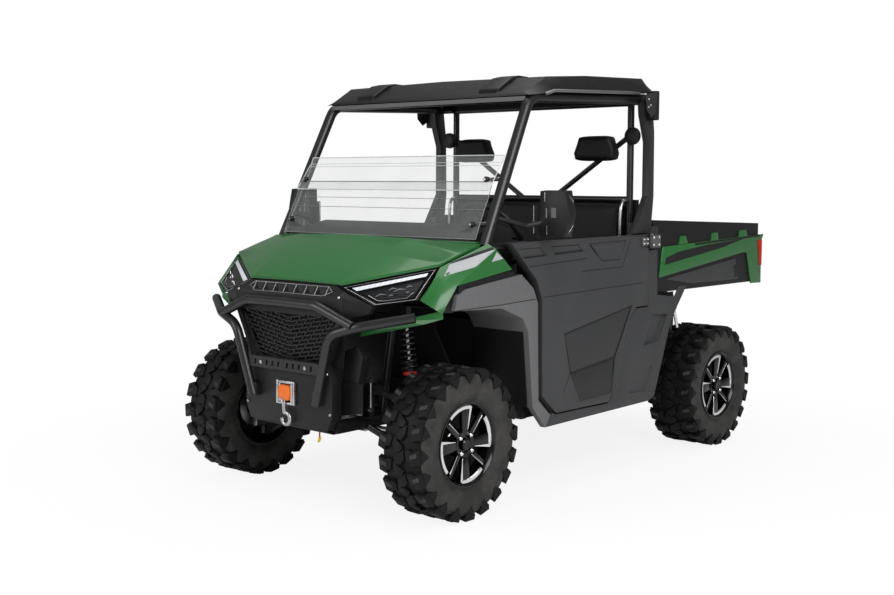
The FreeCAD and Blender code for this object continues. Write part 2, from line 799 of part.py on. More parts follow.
def make_arms():
    ends = ((front_y, size.kingpin_half), (rear_y, size.kingpin_half - 19))
    shapes = [arm_pair(axle_y, side, pivot_x) for axle_y, pivot_x in ends for hand, side in SIDES]
    keep(feature(Part.makeCompound(shapes), "suspension_arms"), "suspension_arms")


make_arms()


def shock(bottom, top, side):
    low, high = place(bottom, side), place(top, side)
    along = high - low
    spring_start = low + along * 0.36
    shapes = [
        Part.makeCylinder(17, along.Length, low, along),
        Part.makeCylinder(26, along.Length * 0.36, low, along),
        Part.makeCylinder(number(size.spring_radius), along.Length * 0.56, spring_start, along),
    ]
    return joined_shape(shapes)


def make_shocks():
    foot_z = up(516.0)
    front = ((size.rail_half + SHOCK_X, front_y, foot_z), (size.rail_half + 160, front_y, up(855.8)))
    back = ((size.rail_half + SHOCK_X, rear_y, foot_z),
            (size.rail_half + 160, rear_y, bed_frame_top - 36.2))
    shapes = [shock(low, high, side) for low, high in (front, back) for hand, side in SIDES]
    keep(feature(Part.makeCompound(shapes), "shocks"), "shocks")


make_shocks()


def make_rods():
    rod_end = size.kingpin_half - 58
    keep(fused([
        rod_x((-rod_end, rod_end), rack_y, rack_z, 9.2),
        rod_x((-(rod_end + 12), -(rod_end - 12)), rack_y, rack_z, ROD_EYE),
        rod_x((rod_end - 12, rod_end + 12), rack_y, rack_z, ROD_EYE),
        ]), "tie_rods")


make_rods()

# Windshield: two clear sheets, clamped ahead of the front pillars


screen_low = up(1232.0)


def screen_z(share):
    """A height as its share of the way from the sheet's foot to the pillars' top."""
    return screen_low + (up(0.0) + size.header_height - screen_low) * share


def make_windshield():
    body = new_body("windshield")
    sheet_t = size.glass_thickness
    low = outline(body, "YZ_Plane", -size.glass_half, [
        (fore(-897.0), screen_low), (fore(-782.0), screen_z(0.3765)), (fore(-681.0), screen_z(0.594)),
        (fore(-681.0) + sheet_t, screen_z(0.594) - 3), (fore(-778.0) + sheet_t, screen_z(0.3765) - 2),
        (fore(-894.0) + sheet_t, screen_low - 2)])
    pad(body, low, size.glass_half * 2)
    return keep(body, "windshield")


windshield = make_windshield()

# Cage, rear pillars and roof

door_top = up(0.0) + size.door_height
door_rear = hinge_y + 12
hinge_low = up(1150.0)
hinge_high = up(1222.0)
LEAF_STAND = 8.0
header_y = fore(-512.0)
rear_pillar_y = aft(372.0)
post_x = 610.0
pillar_top_z = up(0.0) + size.rear_top_height


def cage_tubes():
    shapes = []
    header_z = up(0.0) + size.header_height
    seat_post_y = rear_pillar_y + 60
    for hand, side in SIDES:
        foot = (size.post_half, fore(-868.0), post_top + 18.2)
        shapes.append(tube_shape([
            foot, (size.header_half, header_y - 5, header_z + 8),
            (size.rear_top_half - 20, rear_pillar_y - 34, pillar_top_z - 10)],
            size.cage_radius, 95, side))
        shapes.append(rod_shape(foot, (size.post_half, post_foot_y + 17, post_top + 18.2), 18, side))
        shapes.append(rod_shape((post_x, seat_post_y, pillar_top_z - 20), (post_x, seat_post_y, rail_top + 0.3),
                                18, side))
        shapes.append(rod_shape((post_x, seat_post_y, pillar_top_z - 190), (100, seat_post_y, up(1402.0)), 14, side))
    for y, z, half, radius in ((header_y + 22, header_z + 8, size.header_half - 4, 20),
                               (seat_post_y, pillar_top_z - 20, post_x, 18),
                               (seat_post_y, up(1402.0), post_x, 16)):
        shapes.append(rod_shape((-half, y, z), (half, y, z), radius))
    brace = size.rear_top_half - size.pillar_thickness / 2 - 0.3
    for hand, side in SIDES:
        shapes.append(rod_shape((post_x, seat_post_y - 28, pillar_top_z - 20),
                                (brace, seat_post_y - 28, pillar_top_z - 20), 16, side))
    for hand, side in SIDES:
        shapes.append(rod_shape((size.header_half + 5, fore(-712.0), screen_z(0.42)),
                                (size.glass_half - 26, fore(-752.0), screen_z(0.417)), 9, side))
        shapes.append(rod_shape((size.header_half + 12, fore(-816.0), screen_z(0.105)),
                                (size.glass_half - 26, fore(-856.0), screen_z(0.102)), 9, side))
    doc.recompute()
    return joined_shape(shapes).cut(windshield.Shape)


cage_shape = cage_tubes()
keep(feature(cage_shape, "cage"), "cage")


def make_pillars():
    body = new_body("rear_pillars")
    outer = size.rear_top_half + size.pillar_thickness / 2
    inner = outer - size.pillar_thickness
    foot_outer = size.body_half - size.door_thickness - 10
    foot_inner = foot_outer - size.pillar_thickness
    upper = [(aft(285.0), door_top + 6), (aft(430.0), door_top + 6), (aft(452.0), up(1420.0)),
             (aft(448.0), up(1750.0)), (aft(420.0), pillar_top_z + 14), (aft(340.0), pillar_top_z + 14),
             (aft(350.0), up(1840.0)), (aft(400.0), up(1700.0)), (aft(400.0), up(1420.0))]
    lower = [(aft(300.0), rail_top), (aft(420.0), rail_top), (aft(430.0), up(1000.0)),
             (aft(430.0), door_top + 60), (aft(318.0), door_top + 60), (aft(300.0), up(1000.0))]
    block = [(door_rear + size.shut_gap, hinge_low - 2), (aft(452.0), hinge_low - 2),
             (aft(452.0), door_top + 40), (aft(400.0), door_top + 40),
             (door_rear + size.shut_gap, hinge_high + 2)]
    leaf = [(hinge_y + 13, hinge_low), (aft(470.0), hinge_low), (aft(470.0), hinge_high),
            (hinge_y + 13, hinge_high)]
    parts = [
        pad(body, outline(body, "YZ_Plane", inner, upper, "Upper"), size.pillar_thickness, "UpperPad"),
        pad(body, outline(body, "YZ_Plane", foot_inner, lower, "Lower"), size.pillar_thickness, "LowerPad"),
        pad(body, outline(body, "YZ_Plane", foot_inner, block, "Block"),
            size.body_half + LEAF_STAND - foot_inner, "BlockPad"),
        pad(body, outline(body, "YZ_Plane", size.body_half + LEAF_STAND, leaf, "Leaf"), 5, "LeafPad"),
    ]
    for low, high, label in ((hinge_low, hinge_low + 10, "Low"), (hinge_high - 10, hinge_high, "High")):
        parts.append(pad(body, disc(body, "XY_Plane", low, (hinge_x, hinge_y), size.barrel_radius,
                                    "Barrel" + label), high - low, "Barrel%sPad" % label))
        web = [(size.body_half + LEAF_STAND, hinge_y), (size.body_half + LEAF_STAND + 5, hinge_y),
               (size.body_half + LEAF_STAND + 5, hinge_y + 20), (size.body_half + LEAF_STAND, hinge_y + 20)]
        parts.append(pad(body, outline(body, "XY_Plane", low, web, "Web" + label), high - low,
                         "Web%sPad" % label))
    parts.append(pad(body, disc(body, "XY_Plane", hinge_low, (hinge_x, hinge_y), size.pin_radius, "Pin"),
                     hinge_high - hinge_low, "PinPad"))
    mirrored(body, parts, "YZ_Plane")
    keep(body, "rear_pillars")


make_pillars()


def roof_section(y, low, high, half_low, half_high, crown):
    return [(-half_low, y, low), (-half_high, y, high), (0, y, high + crown), (half_high, y, high),
            (half_low, y, low), (0, y, low)]


def make_roof():
    skin = size.roof_skin
    top = up(0.0) + size.roof_height
    stations = [
        (fore(-545.0), top - 142, top - 130, wide(684), wide(642), 2),
        (fore(-385.0), top - 124, top - 46, wide(712), wide(664), 8),
        (fore(-100.0), top - 110, top - 26, wide(732), wide(684), 10),
        (aft(380.0), top - 88, top - 10, wide(752), wide(704), 10),
        (aft(425.0), top - 82, top - 42, wide(752), wide(704), 8),
    ]
    outer = section_loft([roof_section(*station) for station in stations])
    hollow = section_loft([
        roof_section(y + shift, low - 30, high - skin, half_low - skin, half_high - skin, crown)
        for (y, low, high, half_low, half_high, crown), shift in zip(stations[1:4], (0, 0, -10))])
    keep(feature(outer.cut(hollow).cut(cage_shape), "roof"), "roof")


make_roof()

# Cab shell: floor, footwell and back panel in one, and the dash

floor_low = rail_top
panel_front = rear_pillar_y + 60 + 18 + size.soft_gap


def make_floor():
    body = new_body("cab_floor")
    toe_half = 375.0
    tray = [(fore(-625.0), floor_low), (aft(408.0), floor_low), (aft(408.0), floor_low + 10),
            (fore(-620.0), floor_low + 10), (fore(-848.0), up(800.0)), (fore(-848.0), up(1190.0)),
            (fore(-856.3), up(1190.0)), (fore(-856.3), up(796.0))]
    pad(body, outline(body, "YZ_Plane", -toe_half, tray), 2 * toe_half)
    pan = outline(body, "YZ_Plane", -(size.sill_half - 10), [
        (post_foot_y + 22, floor_low), (aft(298.0), floor_low), (aft(298.0), floor_low + 10),
        (post_foot_y + 22, floor_low + 10)], "Pan")
    pad(body, pan, 2 * (size.sill_half - 10), "PanPad")
    back = outline(body, "YZ_Plane", -toe_half, [
        (aft(400.0), floor_low), (panel_front + 12, floor_low), (panel_front + 12, up(1400.0)),
        (panel_front, up(1400.0)), (panel_front, floor_low + 10), (aft(400.0), floor_low + 10)], "Back")
    pad(body, back, 2 * toe_half, "BackPad")
    panel_half = size.header_half - 10
    wall = outline(body, "YZ_Plane", -panel_half, [
        (panel_front, up(640.0)), (panel_front + 12, up(640.0)), (panel_front + 12, up(1400.0)),
        (panel_front, up(1400.0))], "Wall")
    pad(body, wall, 2 * panel_half, "WallPad")
    keep(body, "cab_floor")


make_floor()


def make_dash():
    body = new_body("DashPanel")
    half = size.body_half - size.door_thickness - 127
    top = [(fore(-847.7), up(1150.0)), (fore(-847.7), up(1228.0)), (fore(-800.0), up(1262.0)),
           (fore(-640.0), up(1290.0)), (fore(-560.0), up(1262.0)), (fore(-545.0), up(1140.0)),
           (fore(-600.0), up(985.0)), (fore(-690.0), up(965.0)), (fore(-700.0), up(1100.0))]
    pad(body, outline(body, "YZ_Plane", -half, top), 2 * half)
    return body


dash = make_dash()

# Seats

seat_front = fore(-125.0)
seat_rear = aft(330.0)
keep(box((-580, 580), (seat_front, aft(405.0)), (floor_low + 10 + size.soft_gap, up(0.0) + size.seat_height)),
     "seat_base")
cushion_low = up(0.0) + size.seat_height + size.soft_gap


def make_cushions():
    body = new_body("seat_cushions")
    profile = [(seat_front - 15, cushion_low), (seat_rear, cushion_low),
               (seat_rear, cushion_low + size.cushion_height - 15),
               (seat_front + 40, cushion_low + size.cushion_height),
               (seat_front - 20, cushion_low + size.cushion_height - 30)]
    pad(body, outline(body, "YZ_Plane", 80, profile), 495, "Driver")
    pad(body, outline(body, "YZ_Plane", -575, profile, "Bench"), 645, "BenchPad")
    keep(body, "seat_cushions")


def make_backs():
    body = new_body("seat_backs")
    low = cushion_low + size.soft_gap
    profile = [(seat_rear + size.soft_gap, low), (aft(404.0), low), (aft(412.0), up(1200.0)),
               (aft(449.0), up(1380.0)), (aft(392.0), up(1380.0)), (seat_rear + size.soft_gap, low + 60)]
    pad(body, outline(body, "YZ_Plane", 80, profile), 495, "Driver")
    pad(body, outline(body, "YZ_Plane", -575, profile, "Bench"), 645, "BenchPad")
    keep(body, "seat_backs")


make_cushions()
make_backs()

HEADREST_X = 427.0
rest_low = pillar_top_z - 320


def make_headrests():
    body = new_body("headrests")
    for name, middle in (("Left", HEADREST_X), ("Right", -HEADREST_X)):
        face = outline(body, "XZ_Plane", -(rear_pillar_y + 45.6), [
            (middle - 118, rest_low), (middle + 118, rest_low), (middle + 130, rest_low + 40),
            (middle + 95, rest_low + 125), (middle - 95, rest_low + 125), (middle - 130, rest_low + 40)], name)
        pad(body, face, 70, name + "Pad")
    keep(body, "headrests")


make_headrests()

# Steering wheel on its column, tilted towards the driver

DRIVER_X = 360.0
WHEEL_TILT = 35.0
wheel_centre = (DRIVER_X, fore(-430.0), up(1235.0))
tilt = math.radians(WHEEL_TILT)
axis_out = Vector(0, math.cos(tilt), math.sin(tilt))


def make_steering():
    centre = place(wheel_centre)
    radius = number(size.wheel_rim_radius)
    grip = number(size.grip_radius)
    rim = Part.makeTorus(radius, grip, centre, axis_out)
    hub = Part.makeCylinder(48, 46, centre - axis_out * 40, axis_out)
    shapes = [rim, hub]
    across = Vector(1, 0, 0)
    upward = axis_out.cross(across)
    for angle in (0, 180, 270):
        turn = math.radians(angle)
        heading = across * math.cos(turn) + upward * math.sin(turn)
        shapes.append(Part.makeCylinder(13, radius, centre - axis_out * 16, heading))
    keep(feature(joined_shape(shapes), "steering_wheel"), "steering_wheel")
    column_end = centre - axis_out * 41
    column_start = centre - axis_out * 190
    column = Part.makeCylinder(24, (column_end - column_start).Length, column_start, axis_out)
    keep(fused([dash, feature(column, "Column")]), "dash")


make_steering()

# Doors, hinged at the rear pillars

DOOR_FRONT = [(-776.0, 1214.0), (-657.0, 1101.0), (-587.0, 1037.0), (-545.0, 948.0),
              (-536.0, 484.0), (-425.0, 391.0)]
DOOR_FIELDS = {
    "Middle": [(-366.0, 766.0), (222.0, 861.0), (71.0, 607.0), (47.0, 430.0), (-230.0, 420.0), (-314.0, 567.0)],
    "FrontTop": [(-700.0, 1176.0), (-564.0, 1176.0), (-522.0, 1148.0), (-686.0, 1141.0)],
    "MiddleTop": [(-480.0, 1186.0), (-257.0, 1188.0), (-218.0, 1156.0), (-450.0, 1148.0)],
    "RearTop": [(-173.0, 1184.0), (159.0, 1194.0), (112.0, 1106.0), (-53.0, 1104.0)],
}
DOOR_LOW = [(19.0, 386.0), (74.0, 442.0), (141.0, 615.0), (209.0, 799.0), (266.0, 850.0)]


def make_door(hand, side):
    name = "door_" + hand
    body = new_body(name)
    inner = size.body_half - size.door_thickness
    edge = [(fore(y), up(z)) for y, z in DOOR_FRONT]
    edge += [(aft(y), up(z)) for y, z in DOOR_LOW]
    edge += [(door_rear, up(850.0)), (door_rear, door_top)]
    start = inner if side > 0 else -size.body_half
    pad(body, outline(body, "YZ_Plane", start, edge, "Panel"), size.door_thickness, "PanelPad")
    floor = size.body_half if side > 0 else size.emboss_depth - size.body_half
    for label, field in DOOR_FIELDS.items():
        corners = [(fore(y) if y < 0 else aft(y), up(z)) for y, z in field]
        pocket(body, outline(body, "YZ_Plane", floor, corners, label), size.emboss_depth, label + "Pocket")
    leaf = [(hinge_y - 70, hinge_low + 12), (hinge_y - 2, hinge_low + 12), (hinge_y - 2, hinge_high - 12),
            (hinge_y - 70, hinge_high - 12)]
    start = size.body_half if side > 0 else -(size.body_half + LEAF_STAND)
    pad(body, outline(body, "YZ_Plane", start, leaf, "Leaf"), LEAF_STAND, "LeafPad")
    middle = (side * hinge_x, hinge_y)
    span = hinge_high - hinge_low - 21
    pad(body, disc(body, "XY_Plane", hinge_low + 10.5, middle, size.barrel_radius, "Barrel"), span, "BarrelPad")
    bore = disc(body, "XY_Plane", hinge_high - 10, middle, size.pin_radius + 0.3, "Bore")
    pocket(body, bore, span + 2)
    keep(body, name)


for hand, side in SIDES:
    make_door(hand, side)

# Rocker and quarter panels behind and below the doors


def make_side_panels():
    body = new_body("side_panels")
    inner = size.body_half - PANEL_DEPTH
    gap = size.shut_gap
    profile = [(fore(-505.0), up(332.0)), (aft(400.0), up(341.0)), (aft(456.0), up(360.0)),
               (aft(528.0), up(541.0)), (aft(632.0), up(797.0)), (aft(640.0), up(880.0)),
               (aft(470.0), up(900.0)), (aft(460.0), up(1140.0)), (door_rear + gap, up(1140.0)),
               (door_rear + gap, up(842.0)), (aft(266.0) + gap / 2, up(850.0) - gap),
               (aft(209.0) + gap, up(799.0) - gap / 2), (aft(141.0) + gap, up(615.0)),
               (aft(74.0) + gap, up(442.0)), (aft(19.0) + gap / 2, up(386.0) - gap),
               (fore(-425.0), up(391.0) - gap), (fore(-450.0), up(395.0))]
    plate = pad(body, outline(body, "YZ_Plane", inner, profile), size.body_half - inner)
    duct = [(aft(415.0), up(800.0)), (aft(340.0), up(640.0)), (aft(490.0), up(652.0)), (aft(585.0), up(788.0))]
    slot = [(aft(272.0), up(520.0)), (aft(217.0), up(406.0)), (aft(379.0), up(398.0)), (aft(436.0), up(522.0))]
    hollows = [pocket(body, outline(body, "YZ_Plane", size.body_half, corners, label), depth, label + "Pocket")
               for label, corners, depth in (("Duct", duct, 22), ("Slot", slot, 8))]
    mirrored(body, [plate] + hollows, "YZ_Plane")
    keep(body, "side_panels")


make_side_panels()

# Front flares with the wheel arch liner


def make_flares():
    body = new_body("flares")
    inner = size.body_half - PANEL_DEPTH
    profile = [(fore(-1150.0), up(1000.0)), (fore(-1091.0), up(1026.0)), (fore(-704.0), up(1070.0)),
               (fore(-612.0), up(1000.0)), (fore(-578.0), up(930.0)), (fore(-566.0), up(470.0)),
               (fore(-470.0), up(385.0)), (fore(-512.0), up(332.0)), (fore(-612.0), up(440.0)),
               (fore(-650.0), up(800.0)), (fore(-690.0), up(865.0)), (fore(-848.0), up(925.0)),
               (fore(-1166.0), up(936.0))]
    plate = pad(body, outline(body, "YZ_Plane", inner, profile), size.body_half - inner)
    liner_rear = post_foot_y - 17 - SEAT_GAP
    liner = outline(body, "YZ_Plane", 440, [
        (fore(-1166.0), up(936.0)), (fore(-848.0), up(925.0)), (fore(-690.0), up(865.0)),
        (fore(-650.0), up(800.0)), (fore(-618.0), up(440.0)), (liner_rear, up(440.0)),
        (fore(-641.0), up(804.0)), (fore(-684.0), up(873.0)), (fore(-846.0), up(934.0)),
        (fore(-1166.0), up(944.0))], "Liner")
    strip = pad(body, liner, inner - 440, "LinerPad")
    trim = outline(body, "YZ_Plane", size.body_half - 26, [
        (fore(-1130.0), up(1005.0)), (fore(-1130.0), up(1043.8)), (fore(-775.0), up(1089.8)),
        (fore(-712.0), up(1066.0))], "Trim")
    band = pad(body, trim, 14, "TrimPad")
    mirrored(body, [plate, strip, band], "YZ_Plane")
    keep(body, "flares")


make_flares()

# Fenders beside the hood, headlamps, and the hood itself

LAMP_NOSE = (309.0, -1395.0, 1026.0)
LAMP_TIP = (672.0, -1172.0, 1116.0)
LAMP_OUT = (666.0, -1296.0, 986.0)
LAMP_IN = (499.0, -1388.0, 957.0)


def shifted(point, dx=0.0, dy=0.0, dz=0.0):
    return (wide(point[0] + dx), fore(point[1] + dy), up(point[2] + dz))


cowl_half = size.post_half - size.cage_radius - 8
HOOD_HINGE_X = 430.0
HOOD_BARREL = 5.5
HOOD_PIN = 2.5
HOOD_REAR = -905.0
hood_hinge_y = fore(HOOD_REAR + 3.0)
hood_hinge_z = up(1216.0)
cowl_front = fore(HOOD_REAR + 11.0)
cowl_depth = fore(-848.3) - cowl_front


def make_fenders():
    outer = [(762, -1144, 1044), (746, -1225, 926), (692, -1292, 982), (686, -1172, 1122),
             (714, -880, 1216), (752, -866, 1192), (762, -764, 1096)]
    inner = [(722, -1140, 1040), (706, -1218, 940), (672, -1286, 986), (678, -1168, 1102),
             (714, -876, 1196), (722, -864, 1176), (722, -770, 1086)]

    def one(side):
        return corner_solid([shifted(p) for p in outer], [shifted(p) for p in inner], side)

    cowl = Part.makeBox(2 * number(cowl_half), number(cowl_depth), 8,
                        Vector(-number(cowl_half), number(cowl_front), number(hood_hinge_z) - 3))
    across = Vector(1, 0, 0)
    for side in (1, -1):
        for x in (HOOD_HINGE_X - 30, HOOD_HINGE_X + 15.5):
            start = Vector(side * x if side > 0 else -x - 14.5, number(hood_hinge_y), number(hood_hinge_z))
            cowl = cowl.fuse(Part.makeCylinder(HOOD_BARREL, 14.5, start, across))
            arm = Part.makeBox(14.5, number(cowl_front) - number(hood_hinge_y) + 2, 6,
                               start - Vector(0, 0, 3))
            cowl = cowl.fuse(arm)
        start = Vector(side * HOOD_HINGE_X - 28, number(hood_hinge_y), number(hood_hinge_z))
        cowl = cowl.fuse(Part.makeCylinder(HOOD_PIN, 56, start, across))
    keep(feature(Part.makeCompound([one(1), one(-1), cowl.removeSplitter()]), "fenders"), "fenders")


make_fenders()


def inset_between(start, end, share):
    return tuple(start[i] + (end[i] - start[i]) * share for i in range(3))


def make_headlamps():
    outer = [LAMP_NOSE, LAMP_TIP, LAMP_OUT, LAMP_IN]

    middle = [sum(p[i] for p in outer) / 4 for i in range(3)]

    def inset(point, share):
        return tuple(point[i] + (middle[i] - point[i]) * share for i in range(3))

    def one(side):
        body = corner_solid([shifted(p) for p in outer], [shifted(p, -30, 55, -4) for p in outer], side)
        rim = [inset(p, 0.16) for p in outer]
        recess = corner_solid([shifted(p, 6, -11, 1) for p in rim], [shifted(p, -6, 11, -1) for p in rim], side)
        nose, tip, out, inner = [inset(p, 0.22) for p in outer]
        bar = [nose, tip, inset_between(tip, out, 0.22), inset_between(nose, inner, 0.3)]
        light = corner_solid([shifted(p, -1, 1, 0) for p in bar], [shifted(p, -10, 18, -1) for p in bar], side)
        return body.cut(recess).fuse(light).removeSplitter()

    keep(feature(both_sides(one), "headlamps"), "headlamps")


make_headlamps()


def hood_section(y, edge_x, edge_z, crease_x, crease_z, middle_z):
    """The hood at one place: from its edge up to a crease and over to the middle."""
    thick = size.hood_thickness
    half, crease = wide(edge_x), wide(crease_x)
    low, high, middle = up(edge_z), up(crease_z), up(middle_z)
    return [(-half, y, low), (-crease, y, high), (0, y, middle), (crease, y, high), (half, y, low),
            (half, y, low - thick), (crease, y, high - thick), (0, y, middle - thick),
            (-crease, y, high - thick), (-half, y, low - thick)]


def make_hood():
    stations = [hood_section(fore(HOOD_REAR), 690, 1214, 420, 1220, 1222),
                hood_section(fore(-1036.0), 684, 1176, 363, 1234, 1241),
                hood_section(fore(-1168.0), 678, 1136, 343, 1172, 1180),
                hood_section(fore(-1398.0), 306, 1046, 290, 1049, 1052)]
    panel = section_loft(stations)
    across = Vector(1, 0, 0)
    for side in (1, -1):
        start = Vector(side * HOOD_HINGE_X - 14.7, number(hood_hinge_y), number(hood_hinge_z))
        panel = panel.fuse(Part.makeCylinder(HOOD_BARREL, 29.4, start, across))
        panel = panel.cut(Part.makeCylinder(HOOD_PIN + 0.3, 29.4, start, across))
        for x in (-30.5, 15.0):
            start = Vector(side * HOOD_HINGE_X + x, number(hood_hinge_y), number(hood_hinge_z))
            panel = panel.cut(Part.makeCylinder(HOOD_BARREL + 1, 15.5, start, across))
    keep(feature(panel.removeSplitter(), "hood"), "hood")


make_hood()

# Nose: fascia with the grille, winch and bull bar

WINDOW = [(335, 898.0), (222, 676.0)]
window_edge = [(x, up(z)) for x, z in WINDOW] + [(-x, up(z)) for x, z in reversed(WINDOW)]


BROW_TOP = 1031.0
VENT_SLOTS = 7
VENT_PITCH = 70.0
VENT_RIB = 12.0


def make_fascia():
    body = new_body("FasciaPlate")
    plate = [(285, BROW_TOP), (358, 1000), (358, 890), (250, 676), (292, 600), (292, 449), (262, 385)]
    edge = [(x, up(z)) for x, z in plate] + [(-x, up(z)) for x, z in reversed(plate)]
    pad(body, outline(body, "XZ_Plane", -(fascia_front + FASCIA_DEPTH), edge), FASCIA_DEPTH)
    pocket(body, outline(body, "XZ_Plane", -fascia_front, window_edge, "Window"), FASCIA_DEPTH + 2)
    brow = outline(body, "YZ_Plane", 400, [
        (fascia_front - 1, up(975.0)), (fascia_front + FASCIA_DEPTH - 6, up(BROW_TOP + 1)),
        (fascia_front - 1, up(BROW_TOP + 1))], "Brow")
    pocket(body, brow, 800, "BrowPocket")

    def wing(side):
        outer = [(350, fascia_front, up(1004.7)), shifted((495, -1392, 952.7)), shifted((470, -1398, 916)),
                 (350, fascia_front, up(892.0))]
        inner = [(x - 6, y + 34, z) for x, y, z in outer]
        return corner_solid(outer, inner, side)

    slots = []
    for i in range(VENT_SLOTS):
        middle = (i - (VENT_SLOTS - 1) / 2) * VENT_PITCH
        half = (VENT_PITCH - VENT_RIB) / 2
        slots.append(box((middle - half, middle + half), (fascia_front + 10, fascia_front + 28),
                         (up(982.0), up(BROW_TOP + 5))))
    whole = fused([body, feature(wing(1), "WingLeft"), feature(wing(-1), "WingRight")])
    keep(cut(whole, fused(slots)), "fascia")


make_fascia()


GRILLE_DEPTH = 14.0
CELL_WIDTH = 52.0
CELL_HEIGHT = 17.0
CELL_RIB = 7.0


def grille_cells():
    """Slanted hexagons in rows that dip towards the middle, as long as they lie in the window."""
    (top_x, top_z), (low_x, low_z) = WINDOW
    cells = []
    rise, run = 0.16, CELL_WIDTH + CELL_RIB
    for row in range(16):
        for column in range(-7, 8):
            x = (column + (row % 2) / 2) * run
            z = low_z - 40 + row * (CELL_HEIGHT + CELL_RIB) + abs(x) * rise
            lean = (1 if x >= 0 else -1) * 5
            half_w, half_h = CELL_WIDTH / 2, CELL_HEIGHT / 2
            corners = [(x - half_w, z - lean), (x - half_w + 9, z + half_h), (x + half_w - 9 + lean, z + half_h),
                       (x + half_w, z + lean), (x + half_w - 9, z - half_h), (x - half_w + 9 - lean, z - half_h)]
            inside = all(low_z + 12 < cz < top_z - 12 and
                         abs(cx) < low_x + (cz - low_z) / (top_z - low_z) * (top_x - low_x) - 14
                         for cx, cz in corners)
            if inside:
                cells.append([Vector(cx, 0, number(up(cz))) for cx, cz in corners])
    return cells


def make_grille():
    body = new_body("GrillePlate")
    pad(body, outline(body, "XZ_Plane", -(fascia_front + 12 + GRILLE_DEPTH), window_edge), GRILLE_DEPTH)
    front = number(fascia_front) + 12
    holes = []
    for corners in grille_cells():
        face = Part.Face(Part.makePolygon([c + Vector(0, front - 1, 0) for c in corners + corners[:1]]))
        holes.append(face.extrude(Vector(0, GRILLE_DEPTH + 2, 0)))
    keep(cut(body, feature(Part.makeCompound(holes), "GrilleCells")), "grille")


make_grille()

loop_y = fore(-1483.0)
PLATE_SLOTS = (-190, -110, -70, -30, 30, 70, 110, 190)


def make_bull_bar():
    radius = size.bar_radius
    foot = (215, fore(-1468.0), up(500.0))
    shapes = []
    for hand, side in SIDES:
        shapes.append(tube_shape([foot, (315, loop_y, up(823.0)), (462, fore(-1450.0), up(866.0)),
                                  (672, fore(-1316.0), up(912.0))], radius, 90, side))
        shapes.append(tube_shape([(0, loop_y, up(947.0)), (235, loop_y, up(945.0)),
                                  (440, fore(-1462.0), up(868.0))], radius, 110, side))
    plate = Part.makeBox(470, 6, 52, Vector(-235, number(loop_y) + 8, number(up(634.0))))
    for x in PLATE_SLOTS:
        low, high = number(up(648.0)), number(up(672.0))
        corners = [Vector(x - 8, 0, low), Vector(x + 4, 0, low), Vector(x + 8, 0, high), Vector(x - 4, 0, high)]
        face = Part.Face(Part.makePolygon([c + Vector(0, number(loop_y), 0) for c in corners + corners[:1]]))
        plate = plate.cut(face.extrude(Vector(0, 30, 0)))
    shapes.append(plate)
    for hand, side in SIDES:
        shapes.append(Part.makeBox(50, 25.7, 60, Vector(side * 215 - 25, number(fore(-1471.0)),
                                                        number(up(498.0)))))
    keep(feature(joined_shape(shapes), "bull_bar"), "bull_bar")


make_bull_bar()


def make_winch():
    front = number(fascia_front)
    shapes = [Part.makeBox(130, 10, 110, Vector(-65, front - 10, number(up(476.0)))),
              Part.makeBox(80, 24, 84, Vector(-40, front - 24, number(up(489.0))))]
    ring = Part.makeTorus(24, 7, Vector(0, front - 24, number(up(425.0))), Vector(0, 1, 0))
    shank = Part.makeCylinder(8, 70, Vector(0, front - 20, number(up(445.0))))
    keep(feature(joined_shape(shapes + [ring, shank]), "winch"), "winch")


make_winch()

# Mirrors


def make_mirrors():
    def one(side):
        head = corner_solid(
            [(785, fore(-590.0), up(1244.0)), (925, fore(-590.0), up(1244.0)), (950, fore(-590.0), up(1347.0)),
             (925, fore(-590.0), up(1450.0)), (785, fore(-590.0), up(1450.0))],
            [(781, fore(-535.0), up(1240.0)), (925, fore(-535.0), up(1240.0)), (950, fore(-535.0), up(1347.0)),
             (925, fore(-535.0), up(1454.0)), (781, fore(-535.0), up(1454.0))], side)
        arm = tube_shape([(690, fore(-800.0), up(1330.0)), (745, fore(-640.0), up(1290.0)),
                          (800, fore(-560.0), up(1310.0))], 11, 40, side)
        return head.fuse(arm.cut(cage_shape))

    keep(feature(both_sides(one), "mirrors"), "mirrors")


make_mirrors()

# Tipping bed with its side panels, lamps and tailgate

bed_front = aft(470.0)
bed_rear = bed_front + size.bed_length
bed_bottom = up(0.0) + size.bed_floor - 34
bed_floor = up(0.0) + size.bed_floor
bed_top = up(0.0) + size.bed_rail
bed_skin = 10.0
STAKE_POCKETS = (761.0, 1091.0, 1446.0)
GATE_HINGE_X = 460.0
GATE_LUG = 6.0
GATE_PIN = 4.0
GATE_BARREL = 10.0
gate_low = bed_floor + 12
gate_hinge_y = bed_rear - 30 + size.shut_gap + size.gate_thickness / 2
gate_hinge_z = gate_low - GATE_LUG - 1


